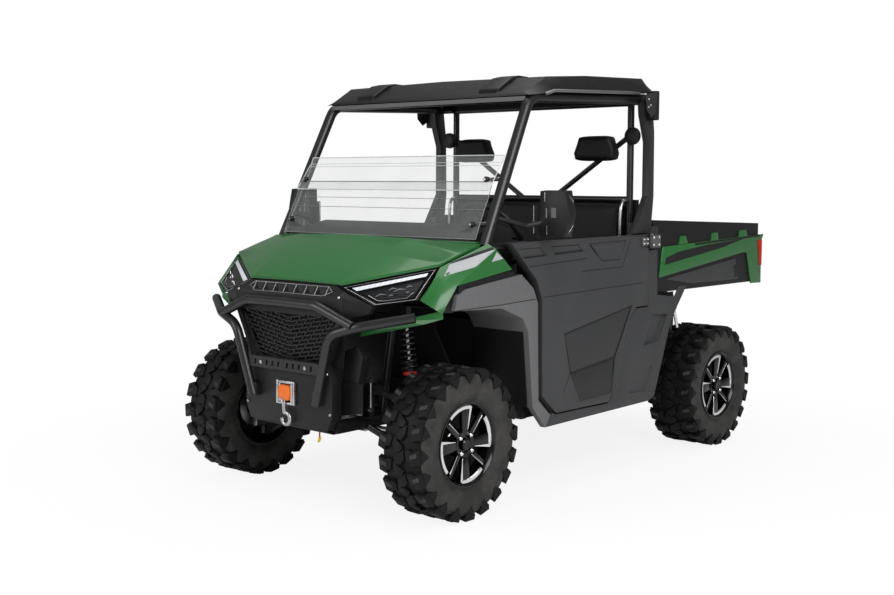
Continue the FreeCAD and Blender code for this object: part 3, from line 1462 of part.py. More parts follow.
def make_bed():
    inner_half = size.bed_half - bed_skin - size.bed_wall
    outer = new_body("BedTub")
    profile = [(bed_front, bed_bottom), (bed_rear - 30, bed_bottom), (bed_rear - 30, bed_top),
               (bed_front, bed_top + size.bed_rise)]
    width = 2 * (size.bed_half - bed_skin)
    pad(outer, outline(outer, "YZ_Plane", -(size.bed_half - bed_skin), profile), width)
    hollow = box((-inner_half, inner_half), (bed_front + size.bed_wall, bed_rear),
                 (bed_floor, bed_top + size.bed_rise + 10))
    ribs = []
    tools = [rod_x((-300, 300), pivot_y, pivot_z, PIVOT_PIN + 0.3)]
    for hand, side in SIDES:
        rib = (size.rail_half - 18, size.rail_half + 18)
        ribs.append(box(mirrored_x(rib, side), (bed_front + 40, pivot_y), (bed_frame_top + ARM_GAP, bed_bottom)))
        ribs.append(rod_x(mirrored_x(rib, side), pivot_y, pivot_z, EAR_RADIUS))
        ribs.append(box(mirrored_x(rib, side), (pivot_y, pivot_y + EAR_RADIUS), (pivot_z, bed_bottom)))
        for x in (GATE_HINGE_X - 30, GATE_HINGE_X + 15.5):
            lug = (x, x + 14.5)
            ribs.append(box(mirrored_x(lug, side), (bed_rear - 30, gate_hinge_y),
                            (gate_hinge_z - GATE_LUG, gate_hinge_z + GATE_LUG)))
            ribs.append(rod_x(mirrored_x(lug, side), gate_hinge_y, gate_hinge_z, GATE_LUG))
            ribs.append(box(mirrored_x(lug, side), (bed_rear - 40, bed_rear - 30),
                            (bed_bottom, gate_hinge_z + GATE_LUG)))
        ribs.append(rod_x(mirrored_x((GATE_HINGE_X - 28, GATE_HINGE_X + 28), side), gate_hinge_y, gate_hinge_z,
                          GATE_PIN))
        for y in STAKE_POCKETS:
            tools.append(box(mirrored_x((size.bed_half - bed_skin - 28, size.bed_half - bed_skin - 8), side),
                             (aft(y - 30), aft(y + 30)), (bed_top - 30, bed_top + size.bed_rise + 10)))
    keep(cut(fused([cut(outer, hollow)] + ribs), fused(tools)), "bed")


make_bed()


def make_bed_panels():
    body = new_body("bed_panels")
    start = size.bed_half - bed_skin
    profile = [(aft(524.0), up(985.0)), (aft(556.0), up(1149.0)), (aft(1705.0), up(1186.0)),
               (aft(1680.0), up(1150.0)), (aft(1680.0), up(930.0)), (aft(1683.0), up(893.0)),
               (aft(1559.0), up(896.0)), (aft(1500.0), up(1080.0)), (aft(1444.0), up(1084.0))]
    plate = pad(body, outline(body, "YZ_Plane", start, profile), bed_skin)
    mirrored(body, [plate], "YZ_Plane")
    keep(body, "bed_panels")


make_bed_panels()

lamp_posts = []
for hand, side in SIDES:
    lamp_posts.append(box(mirrored_x((size.bed_half - bed_skin - 55, size.bed_half - bed_skin), side),
                          (bed_rear - 30, bed_rear - 4), (up(955.0), up(1150.0)), "Lamp"))
tail = doc.addObject("Part::Compound", "TailLamps")
tail.Links = lamp_posts
keep(tail, "tail_lamps")


def make_gate():
    gate_half = size.bed_half - bed_skin - 55 - size.shut_gap
    gate_front = bed_rear - 30 + size.shut_gap
    items = [box((-gate_half, gate_half), (gate_front, gate_front + size.gate_thickness), (gate_low, bed_top - 4))]
    bores = []
    for hand, side in SIDES:
        items.append(rod_x(mirrored_x((GATE_HINGE_X - 15, GATE_HINGE_X + 15), side), gate_hinge_y, gate_hinge_z,
                           GATE_BARREL))
        bores.append(rod_x(mirrored_x((GATE_HINGE_X - 16, GATE_HINGE_X + 16), side), gate_hinge_y, gate_hinge_z,
                           GATE_PIN + 0.3))
    keep(cut(fused(items), fused(bores)), "tailgate")


make_gate()

# Check and write

doc.recompute()
broken = [item.Label for item in doc.Objects if "Invalid" in item.State or "Error" in item.State]
if broken:
    raise RuntimeError("failed: " + ", ".join(broken))
os.makedirs("parts", exist_ok=True)
for thing in nodes:
    shape = thing.Shape
    if shape.isNull() or not shape.isValid() or not shape.Solids:
        raise RuntimeError("bad shape: " + thing.Label)
    shape.exportStep("parts/%s.step" % thing.Label)
    limits = shape.BoundBox
    print("%-20s %d solids %8.1f l  x %.0f %.0f  y %.0f %.0f  z %.0f %.0f" % (
        thing.Label, len(shape.Solids), shape.Volume / 1e6, limits.XMin, limits.XMax,
        limits.YMin, limits.YMax, limits.ZMin, limits.ZMax))
print(len(nodes), "nodes")
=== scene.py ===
"""Looks of a side by side utility vehicle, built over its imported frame. Metres, front towards -Y."""
import json
import math

import bpy
from bpy.props import FloatProperty, FloatVectorProperty, IntProperty, PointerProperty
from mathutils import Matrix, Vector


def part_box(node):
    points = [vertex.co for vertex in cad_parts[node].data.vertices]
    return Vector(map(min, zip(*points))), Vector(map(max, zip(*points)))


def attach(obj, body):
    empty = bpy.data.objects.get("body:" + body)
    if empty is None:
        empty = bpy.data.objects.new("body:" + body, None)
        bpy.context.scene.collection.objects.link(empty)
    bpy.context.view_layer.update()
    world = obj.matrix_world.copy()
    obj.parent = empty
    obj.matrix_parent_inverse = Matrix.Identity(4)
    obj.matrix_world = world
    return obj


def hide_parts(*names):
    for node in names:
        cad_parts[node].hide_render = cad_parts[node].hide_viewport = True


bl_info = {
    "name": "Utility Vehicle Looks",
    "version": (1, 0, 0),
    "blender": (4, 5, 0),
    "location": "View3D > Sidebar > Vehicle",
    "description": "Dresses the packed frame of a side by side utility vehicle",
    "category": "Object",
}

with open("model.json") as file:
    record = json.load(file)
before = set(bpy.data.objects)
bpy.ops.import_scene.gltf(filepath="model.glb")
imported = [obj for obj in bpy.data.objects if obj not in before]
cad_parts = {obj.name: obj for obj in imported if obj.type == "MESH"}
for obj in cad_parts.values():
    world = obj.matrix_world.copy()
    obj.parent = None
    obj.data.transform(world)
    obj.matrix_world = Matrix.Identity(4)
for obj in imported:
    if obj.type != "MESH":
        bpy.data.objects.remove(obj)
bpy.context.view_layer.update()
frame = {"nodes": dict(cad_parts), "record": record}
SIDES = (("left", 1), ("right", -1))


# Settings that a user would change

class VehicleColours(bpy.types.PropertyGroup):
    green: FloatVectorProperty(
        name="Body green", description="Moulded green of hood, cheeks and bed sides", subtype="COLOR",
        size=3, default=(0.018, 0.128, 0.028), min=0, max=1)
    dark_grey: FloatVectorProperty(
        name="Door grey", description="Grained plastic of doors and rockers", subtype="COLOR",
        size=3, default=(0.041, 0.042, 0.044), min=0, max=1)
    grey: FloatVectorProperty(
        name="Flare grey", description="Grained plastic of the front flares", subtype="COLOR",
        size=3, default=(0.115, 0.116, 0.119), min=0, max=1)
    black: FloatVectorProperty(
        name="Black", description="Black plastic and powder coat", subtype="COLOR",
        size=3, default=(0.007, 0.007, 0.0075), min=0, max=1)
    rope: FloatVectorProperty(
        name="Rope block", description="Orange stopper on the winch line", subtype="COLOR",
        size=3, default=(0.85, 0.17, 0.02), min=0, max=1)


class WheelSizes(bpy.types.PropertyGroup):
    lug_count: IntProperty(
        name="Lugs", description="Shoulder lugs round one tyre, each side", default=20, min=8, max=40)
    lug_height: FloatProperty(
        name="Lug height", description="Lug above the tyre's casing", default=0.017, min=0.005, max=0.05,
        unit="LENGTH")
    nut_radius: FloatProperty(
        name="Nut circle", description="Radius of the wheel nuts' circle", default=0.055, unit="LENGTH")


class StageSettings(bpy.types.PropertyGroup):
    floor: FloatVectorProperty(
        name="Floor", description="Pale floor and backdrop", subtype="COLOR", size=3,
        default=(0.9, 0.9, 0.9), min=0, max=1)
    key_power: FloatProperty(
        name="Key light", description="Power of the large light on the driver's side", default=330, min=0,
        unit="POWER")
    world_level: FloatProperty(
        name="Fill level", description="Even light from all round", default=0.27, min=0)


# Shaders

class Wire:
    """A shader socket that is reckoned with like a number."""

    def __init__(self, paint, socket):
        self.paint = paint
        self.socket = socket

    def reckon(self, operation, first, second=None):
        inputs = [first] if second is None else [first, second]
        return self.paint.node("ShaderNodeMath", {"operation": operation}, dict(enumerate(inputs)))

    def __add__(self, other):
        return self.reckon("ADD", self, other)

    __radd__ = __add__

    def __sub__(self, other):
        return self.reckon("SUBTRACT", self, other)

    def __rsub__(self, other):
        return self.reckon("SUBTRACT", other, self)

    def __mul__(self, other):
        return self.reckon("MULTIPLY", self, other)

    __rmul__ = __mul__

    def __pow__(self, other):
        return self.reckon("POWER", self, other)

    def __mod__(self, other):
        return self.reckon("FLOORED_MODULO", self, other)

    def __abs__(self):
        return self.reckon("ABSOLUTE", self)


class Paint:
    """A material, its principled shader and the nodes that feed it."""

    def __init__(self, name, colour, roughness, **constants):
        self.material = bpy.data.materials.new(name)
        self.material.use_nodes = True
        self.tree = self.material.node_tree
        self.shader = self.tree.nodes["Principled BSDF"]
        self.material.diffuse_color = (*colour, 1)
        self.shader.inputs["Base Color"].default_value = (*colour, 1)
        self.shader.inputs["Roughness"].default_value = roughness
        for socket, value in constants.items():
            self.shader.inputs[socket.replace("_", " ")].default_value = value

    def node(self, kind, settings=None, inputs=None, output=0):
        made = self.tree.nodes.new(kind)
        for key, value in (settings or {}).items():
            if key == "stops":
                ramp = made.color_ramp
                while len(ramp.elements) < len(value):
                    ramp.elements.new(0.5)
                for element, (place, level) in zip(ramp.elements, value):
                    element.position = place
                    element.color = (level, level, level, 1)
            else:
                setattr(made, key, value)
        for key, value in (inputs or {}).items():
            if isinstance(value, Wire):
                self.tree.links.new(value.socket, made.inputs[key])
            else:
                made.inputs[key].default_value = value
        return Wire(self, made.outputs[output])

    def place(self):
        return self.node("ShaderNodeTexCoord", output="Object")

    def axes(self):
        split = self.node("ShaderNodeSeparateXYZ", inputs={0: self.place()}).socket.node
        return [Wire(self, split.outputs[i]) for i in range(3)]

    def noise(self, scale, detail=2.0):
        return self.node("ShaderNodeTexNoise", None, {
            "Vector": self.place(), "Scale": scale, "Detail": detail}, "Fac")

    def ramp(self, value, *stops):
        return self.node("ShaderNodeValToRGB", {"stops": stops}, {"Fac": value})

    def blend(self, factor, first, second):
        """Mixes two colours."""
        return self.node("ShaderNodeMix", {"data_type": "RGBA"}, {
            0: factor, 6: first if isinstance(first, Wire) else (*first, 1),
            7: second if isinstance(second, Wire) else (*second, 1)}, 2)

    def feed(self, socket, wire):
        self.tree.links.new(wire.socket, self.shader.inputs[socket])

    def bump(self, height, strength=0.3, distance=0.001):
        self.feed("Normal", self.node("ShaderNodeBump", None, {
            "Strength": strength, "Distance": distance, "Height": height}, "Normal"))


def shade(colour, factor):
    return tuple(min(1.0, c * factor) for c in colour)


def moulded(name, colour, roughness, grain=900.0, depth=0.0004, coat=0.0):
    """Injection moulded plastic: fine grain, faint clouding and rubbed patches."""
    paint = Paint(name, colour, roughness, Coat_Weight=coat, Coat_Roughness=0.12, Specular_IOR_Level=0.32)
    clouds = paint.noise(2.3, 3.0)
    scuffs = paint.ramp(paint.noise(38.0, 6.0), (0.52, 0.0), (0.72, 1.0))
    mask = clouds * 0.6 + scuffs * 0.25
    paint.feed("Base Color", paint.blend(mask, shade(colour, 0.86), shade(colour, 1.22)))
    paint.feed("Roughness", roughness - 0.06 + clouds * 0.1 + scuffs * 0.05)
    paint.bump(paint.noise(grain), 0.35, depth)
    return paint.material


def coated_steel(name, colour, roughness, coat=0.15):
    """Powder coat: orange peel and a little dust."""
    paint = Paint(name, colour, roughness, Coat_Weight=coat, Coat_Roughness=0.2, Specular_IOR_Level=0.35)
    peel = paint.noise(420.0, 1.0)
    dust = paint.ramp(paint.noise(14.0, 5.0), (0.48, 0.0), (0.75, 1.0))
    paint.feed("Base Color", paint.blend(dust * 0.35, colour, shade(colour, 2.2)))
    paint.feed("Roughness", roughness + dust * 0.12)
    paint.bump(peel, 0.22, 0.0005)
    return paint.material


def bare_metal(name, colour, roughness, metallic=1.0, grain=260.0):
    """Worked metal: fine marks and faint stains."""
    paint = Paint(name, colour, roughness, Metallic=metallic)
    marks = paint.noise(grain, 4.0)
    stain = paint.noise(9.0, 4.0)
    paint.feed("Base Color", paint.blend(stain * 0.7, shade(colour, 0.75), shade(colour, 1.1)))
    paint.feed("Roughness", roughness - 0.06 + marks * 0.14)
    paint.bump(marks, 0.12, 0.0003)
    return paint.material


PAINTS = {}


def make_paints(colours):
    green, dark, grey, black = (tuple(c) for c in (
        colours.green, colours.dark_grey, colours.grey, colours.black))
    PAINTS["green"] = moulded("green_plastic", green, 0.34, 1400.0, 0.00012, 0.35)
    PAINTS["door"] = moulded("dark_grey_plastic", dark, 0.5)
    PAINTS["flare"] = moulded("grey_plastic", grey, 0.5)
    PAINTS["black"] = moulded("black_plastic", black, 0.48)
    PAINTS["roof"] = moulded("roof_plastic", shade(black, 0.65), 0.42)
    PAINTS["bed"] = moulded("bed_plastic", black, 0.55, 600.0, 0.0006)
    PAINTS["steel"] = coated_steel("frame_steel", black, 0.38)
    PAINTS["pillar"] = moulded("pillar_plate", shade(dark, 0.58), 0.42)
    PAINTS["cast"] = bare_metal("cast_steel", (0.12, 0.12, 0.125), 0.5, 0.8, 90.0)
    PAINTS["alloy"] = bare_metal("machined_metal", (0.55, 0.55, 0.56), 0.32)
    PAINTS["bright"] = bare_metal("bright_rim", (0.86, 0.86, 0.87), 0.16)
    PAINTS["zinc"] = bare_metal("zinc_plate", (0.62, 0.62, 0.63), 0.3)
    PAINTS["rim"] = coated_steel("wheel_black", shade(black, 0.25), 0.14, 0.0)
    PAINTS["tube"] = bare_metal("tube_black", (0.055, 0.055, 0.057), 0.34, 0.85, 300.0)
    PAINTS["lattice"] = moulded("lattice_black", (0.026, 0.026, 0.027), 0.32, 500.0)
    # Darker copies of the door grey: painted shade in the door's lower recess and, darker still, below it
    PAINTS["door_low_painted_shade"] = moulded("door_recess_painted_shade", shade(dark, 0.72), 0.55)
    PAINTS["door_foot_painted_shade"] = moulded("door_foot_painted_shade", shade(dark, 0.52), 0.55)
    # Darker black: painted shade on the cab floor, seat base, rim dish, nose cover and sill plates, which lie
    # in shadow
    PAINTS["painted_shade_black"] = moulded("cab_black_painted_shade", shade(black, 0.4), 0.6)
    PAINTS["wall"] = rubber_paint("tyre_wall", (0.024, 0.0235, 0.0225), (0.098, 0.095, 0.089))
    PAINTS["vinyl"] = vinyl_paint(shade(black, 0.7))
    PAINTS["rubber"] = rubber_paint("tyre_rubber", (0.003, 0.003, 0.0031), (0.012, 0.0115, 0.011))
    PAINTS["glass"] = sheet_paint("clear_sheet", (0.4, 0.42, 0.42), 0.13)
    PAINTS["red"] = lens_paint("red_lens", (0.5, 0.012, 0.01))
    PAINTS["gloss"] = coated_steel("gloss_black", shade(black, 0.8), 0.16)
    PAINTS["smoke"] = lens_paint("smoke_lens", (0.008, 0.0085, 0.01))
    PAINTS["light"] = light_paint()
    # Dim and pale grey for the clear sheets' edges: painted highlights where light catches the cut edges
    PAINTS["dull_edge_highlight"] = moulded("dull_edge_highlight", (0.2, 0.21, 0.21), 0.35, 300.0, 0.0001)
    PAINTS["edge"] = moulded("sheet_edge_highlight", (0.62, 0.64, 0.65), 0.3, 300.0, 0.0001)
    PAINTS["zinc_dull"] = bare_metal("dull_zinc", (0.3, 0.3, 0.31), 0.42)
    PAINTS["stripe"] = moulded("stripe_grey", (0.4, 0.41, 0.42), 0.4, 700.0, 0.0001)
    PAINTS["collar"] = moulded("red_collar", (0.42, 0.02, 0.015), 0.4)
    PAINTS["spring"] = coated_steel("spring_black", shade(black, 0.9), 0.18)
    PAINTS["tag"] = moulded("tag_yellow", (0.7, 0.42, 0.03), 0.5)
    PAINTS["rope"] = moulded("rope_block", tuple(colours.rope), 0.45, 500.0)


def vinyl_paint(colour):
    """Seat vinyl: a fine cell grain and faint clouding."""
    paint = Paint("seat_vinyl", colour, 0.5, Specular_IOR_Level=0.22)
    cells = paint.node("ShaderNodeTexVoronoi", {"feature": "DISTANCE_TO_EDGE"}, {
        "Vector": paint.place(), "Scale": 420.0}, "Distance")
    clouds = paint.noise(5.0, 3.0)
    paint.feed("Base Color", paint.blend(clouds, shade(colour, 0.8), shade(colour, 1.3)))
    paint.feed("Roughness", clouds * 0.16 + 0.38)
    paint.bump(paint.ramp(cells, (0.0, 0.0), (0.09, 1.0)), 0.3, 0.0005)
    return paint.material


def rubber_paint(name, clean, dusty):
    """Rubber with dust in patches."""
    paint = Paint(name, clean, 0.62, Specular_IOR_Level=0.2)
    dust = paint.ramp(paint.noise(11.0, 6.0), (0.42, 0.0), (0.78, 1.0))
    paint.feed("Base Color", paint.blend(dust * 0.5, clean, dusty))
    paint.feed("Roughness", dust * 0.22 + 0.52)
    paint.bump(paint.noise(700.0, 3.0), 0.3, 0.0006)
    return paint.material


def sheet_paint(name, colour, alpha):
    """Clear plastic sheet with faint smears."""
    paint = Paint(name, colour, 0.06, Specular_IOR_Level=0.6)
    smear = paint.noise(6.0, 5.0)
    paint.feed("Roughness", smear * 0.12)
    paint.feed("Alpha", smear * 0.08 + (alpha - 0.04))
    return paint.material


def light_paint():
    """White light bar: frosted, with faint cells along it."""
    paint = Paint("light_bar", (0.62, 0.64, 0.67), 0.25, Emission_Strength=0.12)
    cells = abs((paint.axes()[0] % 0.02) - 0.01) * 60.0
    colour = paint.blend(cells, (0.56, 0.58, 0.62), (0.8, 0.82, 0.85))
    paint.feed("Base Color", colour)
    paint.feed("Emission Color", colour)
    return paint.material


def lens_paint(name, colour):
    """Ribbed lens, the ribs lying level; their crests painted lighter and their hollows darker, a painted
    highlight and shade.
    """
    paint = Paint(name, colour, 0.2, Specular_IOR_Level=0.25)
    ribs = abs((paint.axes()[2] % 0.008) - 0.004) * 250.0
    # Painted shade in the hollows between ribs and painted highlight on their crests
    paint.feed("Base Color", paint.blend(ribs, shade(colour, 0.7), shade(colour, 1.3)))
    paint.bump(ribs, 0.4, 0.001)
    return paint.material


# Modelling helpers

def clear_selection():
    if bpy.context.object and bpy.context.object.mode != "OBJECT":
        bpy.ops.object.mode_set(mode="OBJECT")
    bpy.ops.object.select_all(action="DESELECT")


def take(obj):
    clear_selection()
    obj.select_set(True)
    bpy.context.view_layer.objects.active = obj


def edit(obj, select="SELECT"):
    take(obj)
    bpy.ops.object.mode_set(mode="EDIT")
    bpy.ops.mesh.select_all(action=select)


def leave():
    bpy.ops.object.mode_set(mode="OBJECT")


def select_faces(obj, wanted):
    """In edit mode, selects the faces whose centre and normal fit."""
    bpy.ops.object.mode_set(mode="OBJECT")
    for face in obj.data.polygons:
        face.select = bool(wanted(face.center, face.normal))
    bpy.ops.object.mode_set(mode="EDIT")


def smooth(obj, angle=35.0):
    take(obj)
    bpy.ops.object.shade_smooth_by_angle(angle=math.radians(angle))


def rounded(obj, width, segments=2, angle=30.0):
    """Bevels the edges that are sharper than the angle."""
    take(obj)
    bevel = obj.modifiers.new("Bevel", "BEVEL")
    bevel.width = width
    bevel.segments = segments
    bevel.limit_method = "ANGLE"
    bevel.angle_limit = math.radians(angle)
    bpy.ops.object.modifier_apply(modifier=bevel.name)
    smooth(obj)
    return obj


def copied(node):
    """A copy of a CAD node with its doubles merged and flat faces whole."""
    clear_selection()
    source = frame["nodes"][node]
    copy = copy_of(source)
    copy.parent = None
    copy.hide_render = False
    copy.hide_viewport = False
    edit(copy)
    bpy.ops.mesh.remove_doubles(threshold=0.00002)
    bpy.ops.mesh.dissolve_limited(angle_limit=math.radians(0.6))
    leave()
    return copy


def softened(node, paint, width):
    """A CAD node with its edges rounded as moulded or pressed edges are."""
    skin = painted(rounded(copied(node), width, angle=28.0), paint)
    finish(skin, node + "_skin", BODY_OF[node], (node,))


def drawn(corners):
    """A run of edges, drawn corner by corner and left in edit mode with all of it selected."""
    clear_selection()
    bpy.ops.mesh.primitive_plane_add(size=0.001, location=corners[0])
    obj = bpy.context.object
    take(obj)
    bpy.ops.object.transform_apply(location=True, rotation=True, scale=True)
    edit(obj)
    bpy.ops.mesh.merge(type="CENTER")
    last = Vector(corners[0])
    for corner in corners[1:]:
        bpy.ops.mesh.extrude_region_move(TRANSFORM_OT_translate={"value": Vector(corner) - last})
        last = Vector(corner)
    bpy.ops.mesh.select_all(action="SELECT")
    return obj


def plate(corners, depth):
    """A flat piece: a face with these corners, pulled out along a vector."""
    obj = drawn(corners)
    bpy.ops.mesh.edge_face_add()
    bpy.ops.mesh.extrude_region_move(TRANSFORM_OT_translate={"value": Vector(depth)})
    bpy.ops.mesh.select_all(action="SELECT")
    bpy.ops.mesh.normals_make_consistent(inside=False)
    leave()
    return obj


def slab(corners, depth, paint, width=0.0, segments=2):
    """A painted plate, with rounded edges where a width is given."""
    obj = plate(corners, depth)
    return painted(rounded(obj, width, segments) if width else obj, paint)


def panel(axis, level, outline, depth, paint, width=0.0, segments=2):
    """A slab square to an axis: its outline gives the other two coordinates, in their own order."""
    index = "XYZ".index(axis)
    corners = [(*point[:index], level, *point[index:]) for point in outline]
    reach = Vector()
    reach[index] = depth
    return slab(corners, reach, paint, width, segments)


def rectangle(left, low, right, high):
    return [(left, low), (right, low), (right, high), (left, high)]


def strip(first, last, width, facing, depth):
    """A flat bar between two points, across the axis that it faces."""
    across = Vector(facing).cross((last - first).normalized()) * width / 2
    return plate([first - across, last - across, last + across, first + across], depth)


def lathe(profile, sweep=360.0, steps=48):
    """Turns an outline of (x, radius) corners about the X axis; a full turn closes on itself."""
    obj = drawn([(x, 0, -radius) for x, radius in profile])
    if sweep < 360:
        bpy.ops.mesh.edge_face_add()
    bpy.ops.mesh.spin(steps=steps, angle=math.radians(sweep), center=(0, 0, 0), axis=(1, 0, 0))
    bpy.ops.mesh.select_all(action="SELECT")
    bpy.ops.mesh.remove_doubles(threshold=0.00001)
    bpy.ops.mesh.normals_make_consistent(inside=False)
    leave()
    smooth(obj)
    return obj


def tube(points, radius, closed=False, curved=False, ring=4):
    """A round bar along points."""
    clear_selection()
    bpy.ops.curve.primitive_nurbs_path_add()
    obj = bpy.context.object
    obj.data.splines.clear()
    spline = obj.data.splines.new("NURBS" if curved else "POLY")
    spline.points.add(len(points) - 1)
    for spot, point in zip(spline.points, points):
        spot.co = (*point, 1)
    spline.use_cyclic_u = closed
    if curved:
        spline.order_u = 3
        spline.use_endpoint_u = True
    obj.data.bevel_depth = radius
    obj.data.bevel_resolution = ring
    obj.data.use_fill_caps = True
    obj.data.resolution_u = 6
    obj.location = (0, 0, 0)
    take(obj)
    bpy.ops.object.convert(target="MESH")
    obj = bpy.context.object
    smooth(obj, 50)
    return obj


def bolts(spots, direction, radius):
    """Round-headed screws whose heads stand along a direction."""
    turn = Vector((1, 0, 0)).rotation_difference(Vector(direction)).to_matrix().to_4x4()
    made = []
    for spot in spots:
        head = lathe([(-0.002, 0.0), (-0.002, radius), (0.002, radius), (0.005, radius * 0.7),
                      (0.006, radius * 0.45), (0.003, radius * 0.4), (0.003, 0.0)], steps=16)
        head.data.transform(Matrix.Translation(spot) @ turn)
        made.append(painted(head, "zinc"))
    return made


def joined(pieces):
    if len(pieces) > 1:
        clear_selection()
        for piece in pieces:
            piece.select_set(True)
        bpy.context.view_layer.objects.active = pieces[0]
        bpy.ops.object.join()
    return pieces[0]


def copy_of(obj, matrix=None):
    copy = obj.copy()
    copy.data = obj.data.copy()
    bpy.context.scene.collection.objects.link(copy)
    if matrix is not None:
        copy.data.transform(matrix)
    return copy


def turned_copies(obj, count, start=0.0):
    """Copies about the X axis, the last one being the piece itself."""
    made = [copy_of(obj) for _ in range(count - 1)] + [obj]
    for i, copy in enumerate(made):
        copy.data.transform(Matrix.Rotation(math.radians(start + 360.0 / count * (i + 1)), 4, "X"))
    return made


def mirror_of(obj):
    """The same piece on the other side of the vehicle."""
    copy = copy_of(obj, Matrix.Scale(-1, 4, (1, 0, 0)))
    edit(copy)
    bpy.ops.mesh.flip_normals()
    leave()
    return copy


def painted(obj, *paints):
    obj.data.materials.clear()
    for paint in paints:
        obj.data.materials.append(PAINTS[paint])
    return obj


def finish(obj, name, body, replaces=()):
    """Names a piece that already has its paint, ties it to its body and hides the CAD nodes that it replaces.
    """
    obj.name = name
    obj.data.name = name
    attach(obj, body)
    if replaces:
        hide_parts(*replaces)


def both(obj, name, body, replaces=()):
    """A piece and its mirror image. A star in the body's name stands for left or right, and the
    left piece stands for the CAD nodes."""
    twin = mirror_of(obj)
    finish(obj, name + "_left", body.replace("*", "left"), replaces)
    finish(twin, name + "_right", body.replace("*", "right"))


BODY_OF = {node: body for body, nodes in frame["record"]["behaviour"]["bodies"].items() for node in nodes}


# Stage

CAMERA_PLACE = (4.22335, -5.25653, 1.48736)
CAMERA_DIP = 5.32
CAMERA_ROLL = -0.0035
CAMERA_HEADING = 41.285
SENSOR_WIDTH = 36.0
FOCAL_PIXELS = 1233.75
PHOTO_WIDTH = 894.0
WHITE = (1, 1, 1, 1)
LIGHTS = (
    ("light_key", (5.5, -3.0, 4.2), (0, 0, 0.9), 4.0, 1.0),
    ("light_nose", (-2.5, -6.5, 3.2), (0, -1.0, 0.8), 3.5, 0.45),
    ("light_top", (0.0, 0.5, 6.5), (0, 0, 1.0), 5.0, 0.5),
)


def show_white(tree, kind, seen, lit, output):
    """Where seen is one, plain white takes the place of the lit shader."""
    white = tree.nodes.new(kind)
    white.inputs["Color"].default_value = WHITE
    mix = tree.nodes.new("ShaderNodeMixShader")
    for socket, source in zip(mix.inputs, (seen, lit, white.outputs[0])):
        tree.links.new(source, socket)
    tree.links.new(mix.outputs[0], tree.nodes[output].inputs["Surface"])


class VEHICLE_OT_stage(bpy.types.Operator):
    """Floor, world, lights and the camera"""
    bl_idname = "vehicle.stage"
    bl_label = "Stage"

    def execute(self, context):
        settings = context.scene.vehicle_stage
        scene = context.scene
        scene.view_settings.view_transform = "Standard"
        clear_selection()
        bpy.ops.mesh.primitive_plane_add(size=60, location=(0, 0, 0))
        floor = context.object
        floor.name = "stage_floor"
        paint = Paint("stage_floor", tuple(settings.floor), 0.9)
        rays = paint.tree.nodes.new("ShaderNodeLightPath")
        x, y, _ = paint.axes()
        reach = (x * x + y * y) ** 0.5
        plain = paint.ramp(reach * 0.2, (0.2, 0.86), (0.62, 1.0))
        direct = Wire(paint, rays.outputs["Is Camera Ray"]) + Wire(paint, rays.outputs["Is Transmission Ray"])
        show_white(paint.tree, "ShaderNodeEmission", (direct * plain).socket, paint.shader.outputs[0],
                   "Material Output")
        floor.data.materials.append(paint.material)

        world = bpy.data.worlds.new("stage_world")
        scene.world = world
        world.use_nodes = True
        tree = world.node_tree
        fill = tree.nodes["Background"]
        fill.inputs["Color"].default_value = WHITE
        fill.inputs["Strength"].default_value = settings.world_level
        rays = tree.nodes.new("ShaderNodeLightPath")
        either = tree.nodes.new("ShaderNodeMath")
        either.operation = "MAXIMUM"
        tree.links.new(rays.outputs["Is Camera Ray"], either.inputs[0])
        tree.links.new(rays.outputs["Is Transmission Ray"], either.inputs[1])
        show_white(tree, "ShaderNodeBackground", either.outputs[0], fill.outputs[0], "World Output")

        for name, spot, aim, size, share in LIGHTS:
            bpy.ops.object.light_add(type="AREA", location=spot)
            lamp = context.object
            lamp.name = name
            lamp.data.shape = "SQUARE"
            lamp.data.size = size
            lamp.data.energy = settings.key_power * share
            lamp.rotation_euler = (Vector(aim) - Vector(spot)).to_track_quat("-Z", "Y").to_euler()

        bpy.ops.object.camera_add(location=CAMERA_PLACE)
        camera = context.object
        camera.name = "camera"
        camera.data.sensor_width = SENSOR_WIDTH
        camera.data.lens = FOCAL_PIXELS * SENSOR_WIDTH / PHOTO_WIDTH
        camera.rotation_euler = (math.radians(90 - CAMERA_DIP), CAMERA_ROLL, math.radians(CAMERA_HEADING))
        camera.data.clip_end = 200
        scene.camera = camera
        clear_selection()
        return {"FINISHED"}


# Panels that keep the frame's shape

SKINS = (
    ("hood", "green", 0.004), ("fenders", "green", 0.003), ("bed_panels", "green", 0.003),
    ("flares", "flare", 0.003), ("side_panels", "door", 0.003), ("door_left", "door", 0.004),
    ("door_right", "door", 0.004), ("fascia", "black", 0.004), ("rear_pillars", "pillar", 0.003),
    ("bed", "bed", 0.004), ("tailgate", "bed", 0.004), ("dash", "black", 0.006),
    ("cab_floor", "painted_shade_black", 0.003), ("seat_base", "painted_shade_black", 0.008), ("mirrors", "black", 0.004),
    ("skid_plate", "black", 0.001), ("tail_lamps", "red", 0.003),
)
PLAIN = (
    ("frame", "steel"), ("cage", "tube"), ("bull_bar", "tube"), ("suspension_arms", "steel"),
    ("tie_rods", "steel"), ("driveline", "alloy"), ("engine", "cast"), ("radiator", "alloy"),
    ("knuckle_left", "cast"), ("knuckle_right", "cast"), ("rear_uprights", "cast"),
    ("steering_wheel", "black"),
)
ARCH_LINER_X = 0.7595


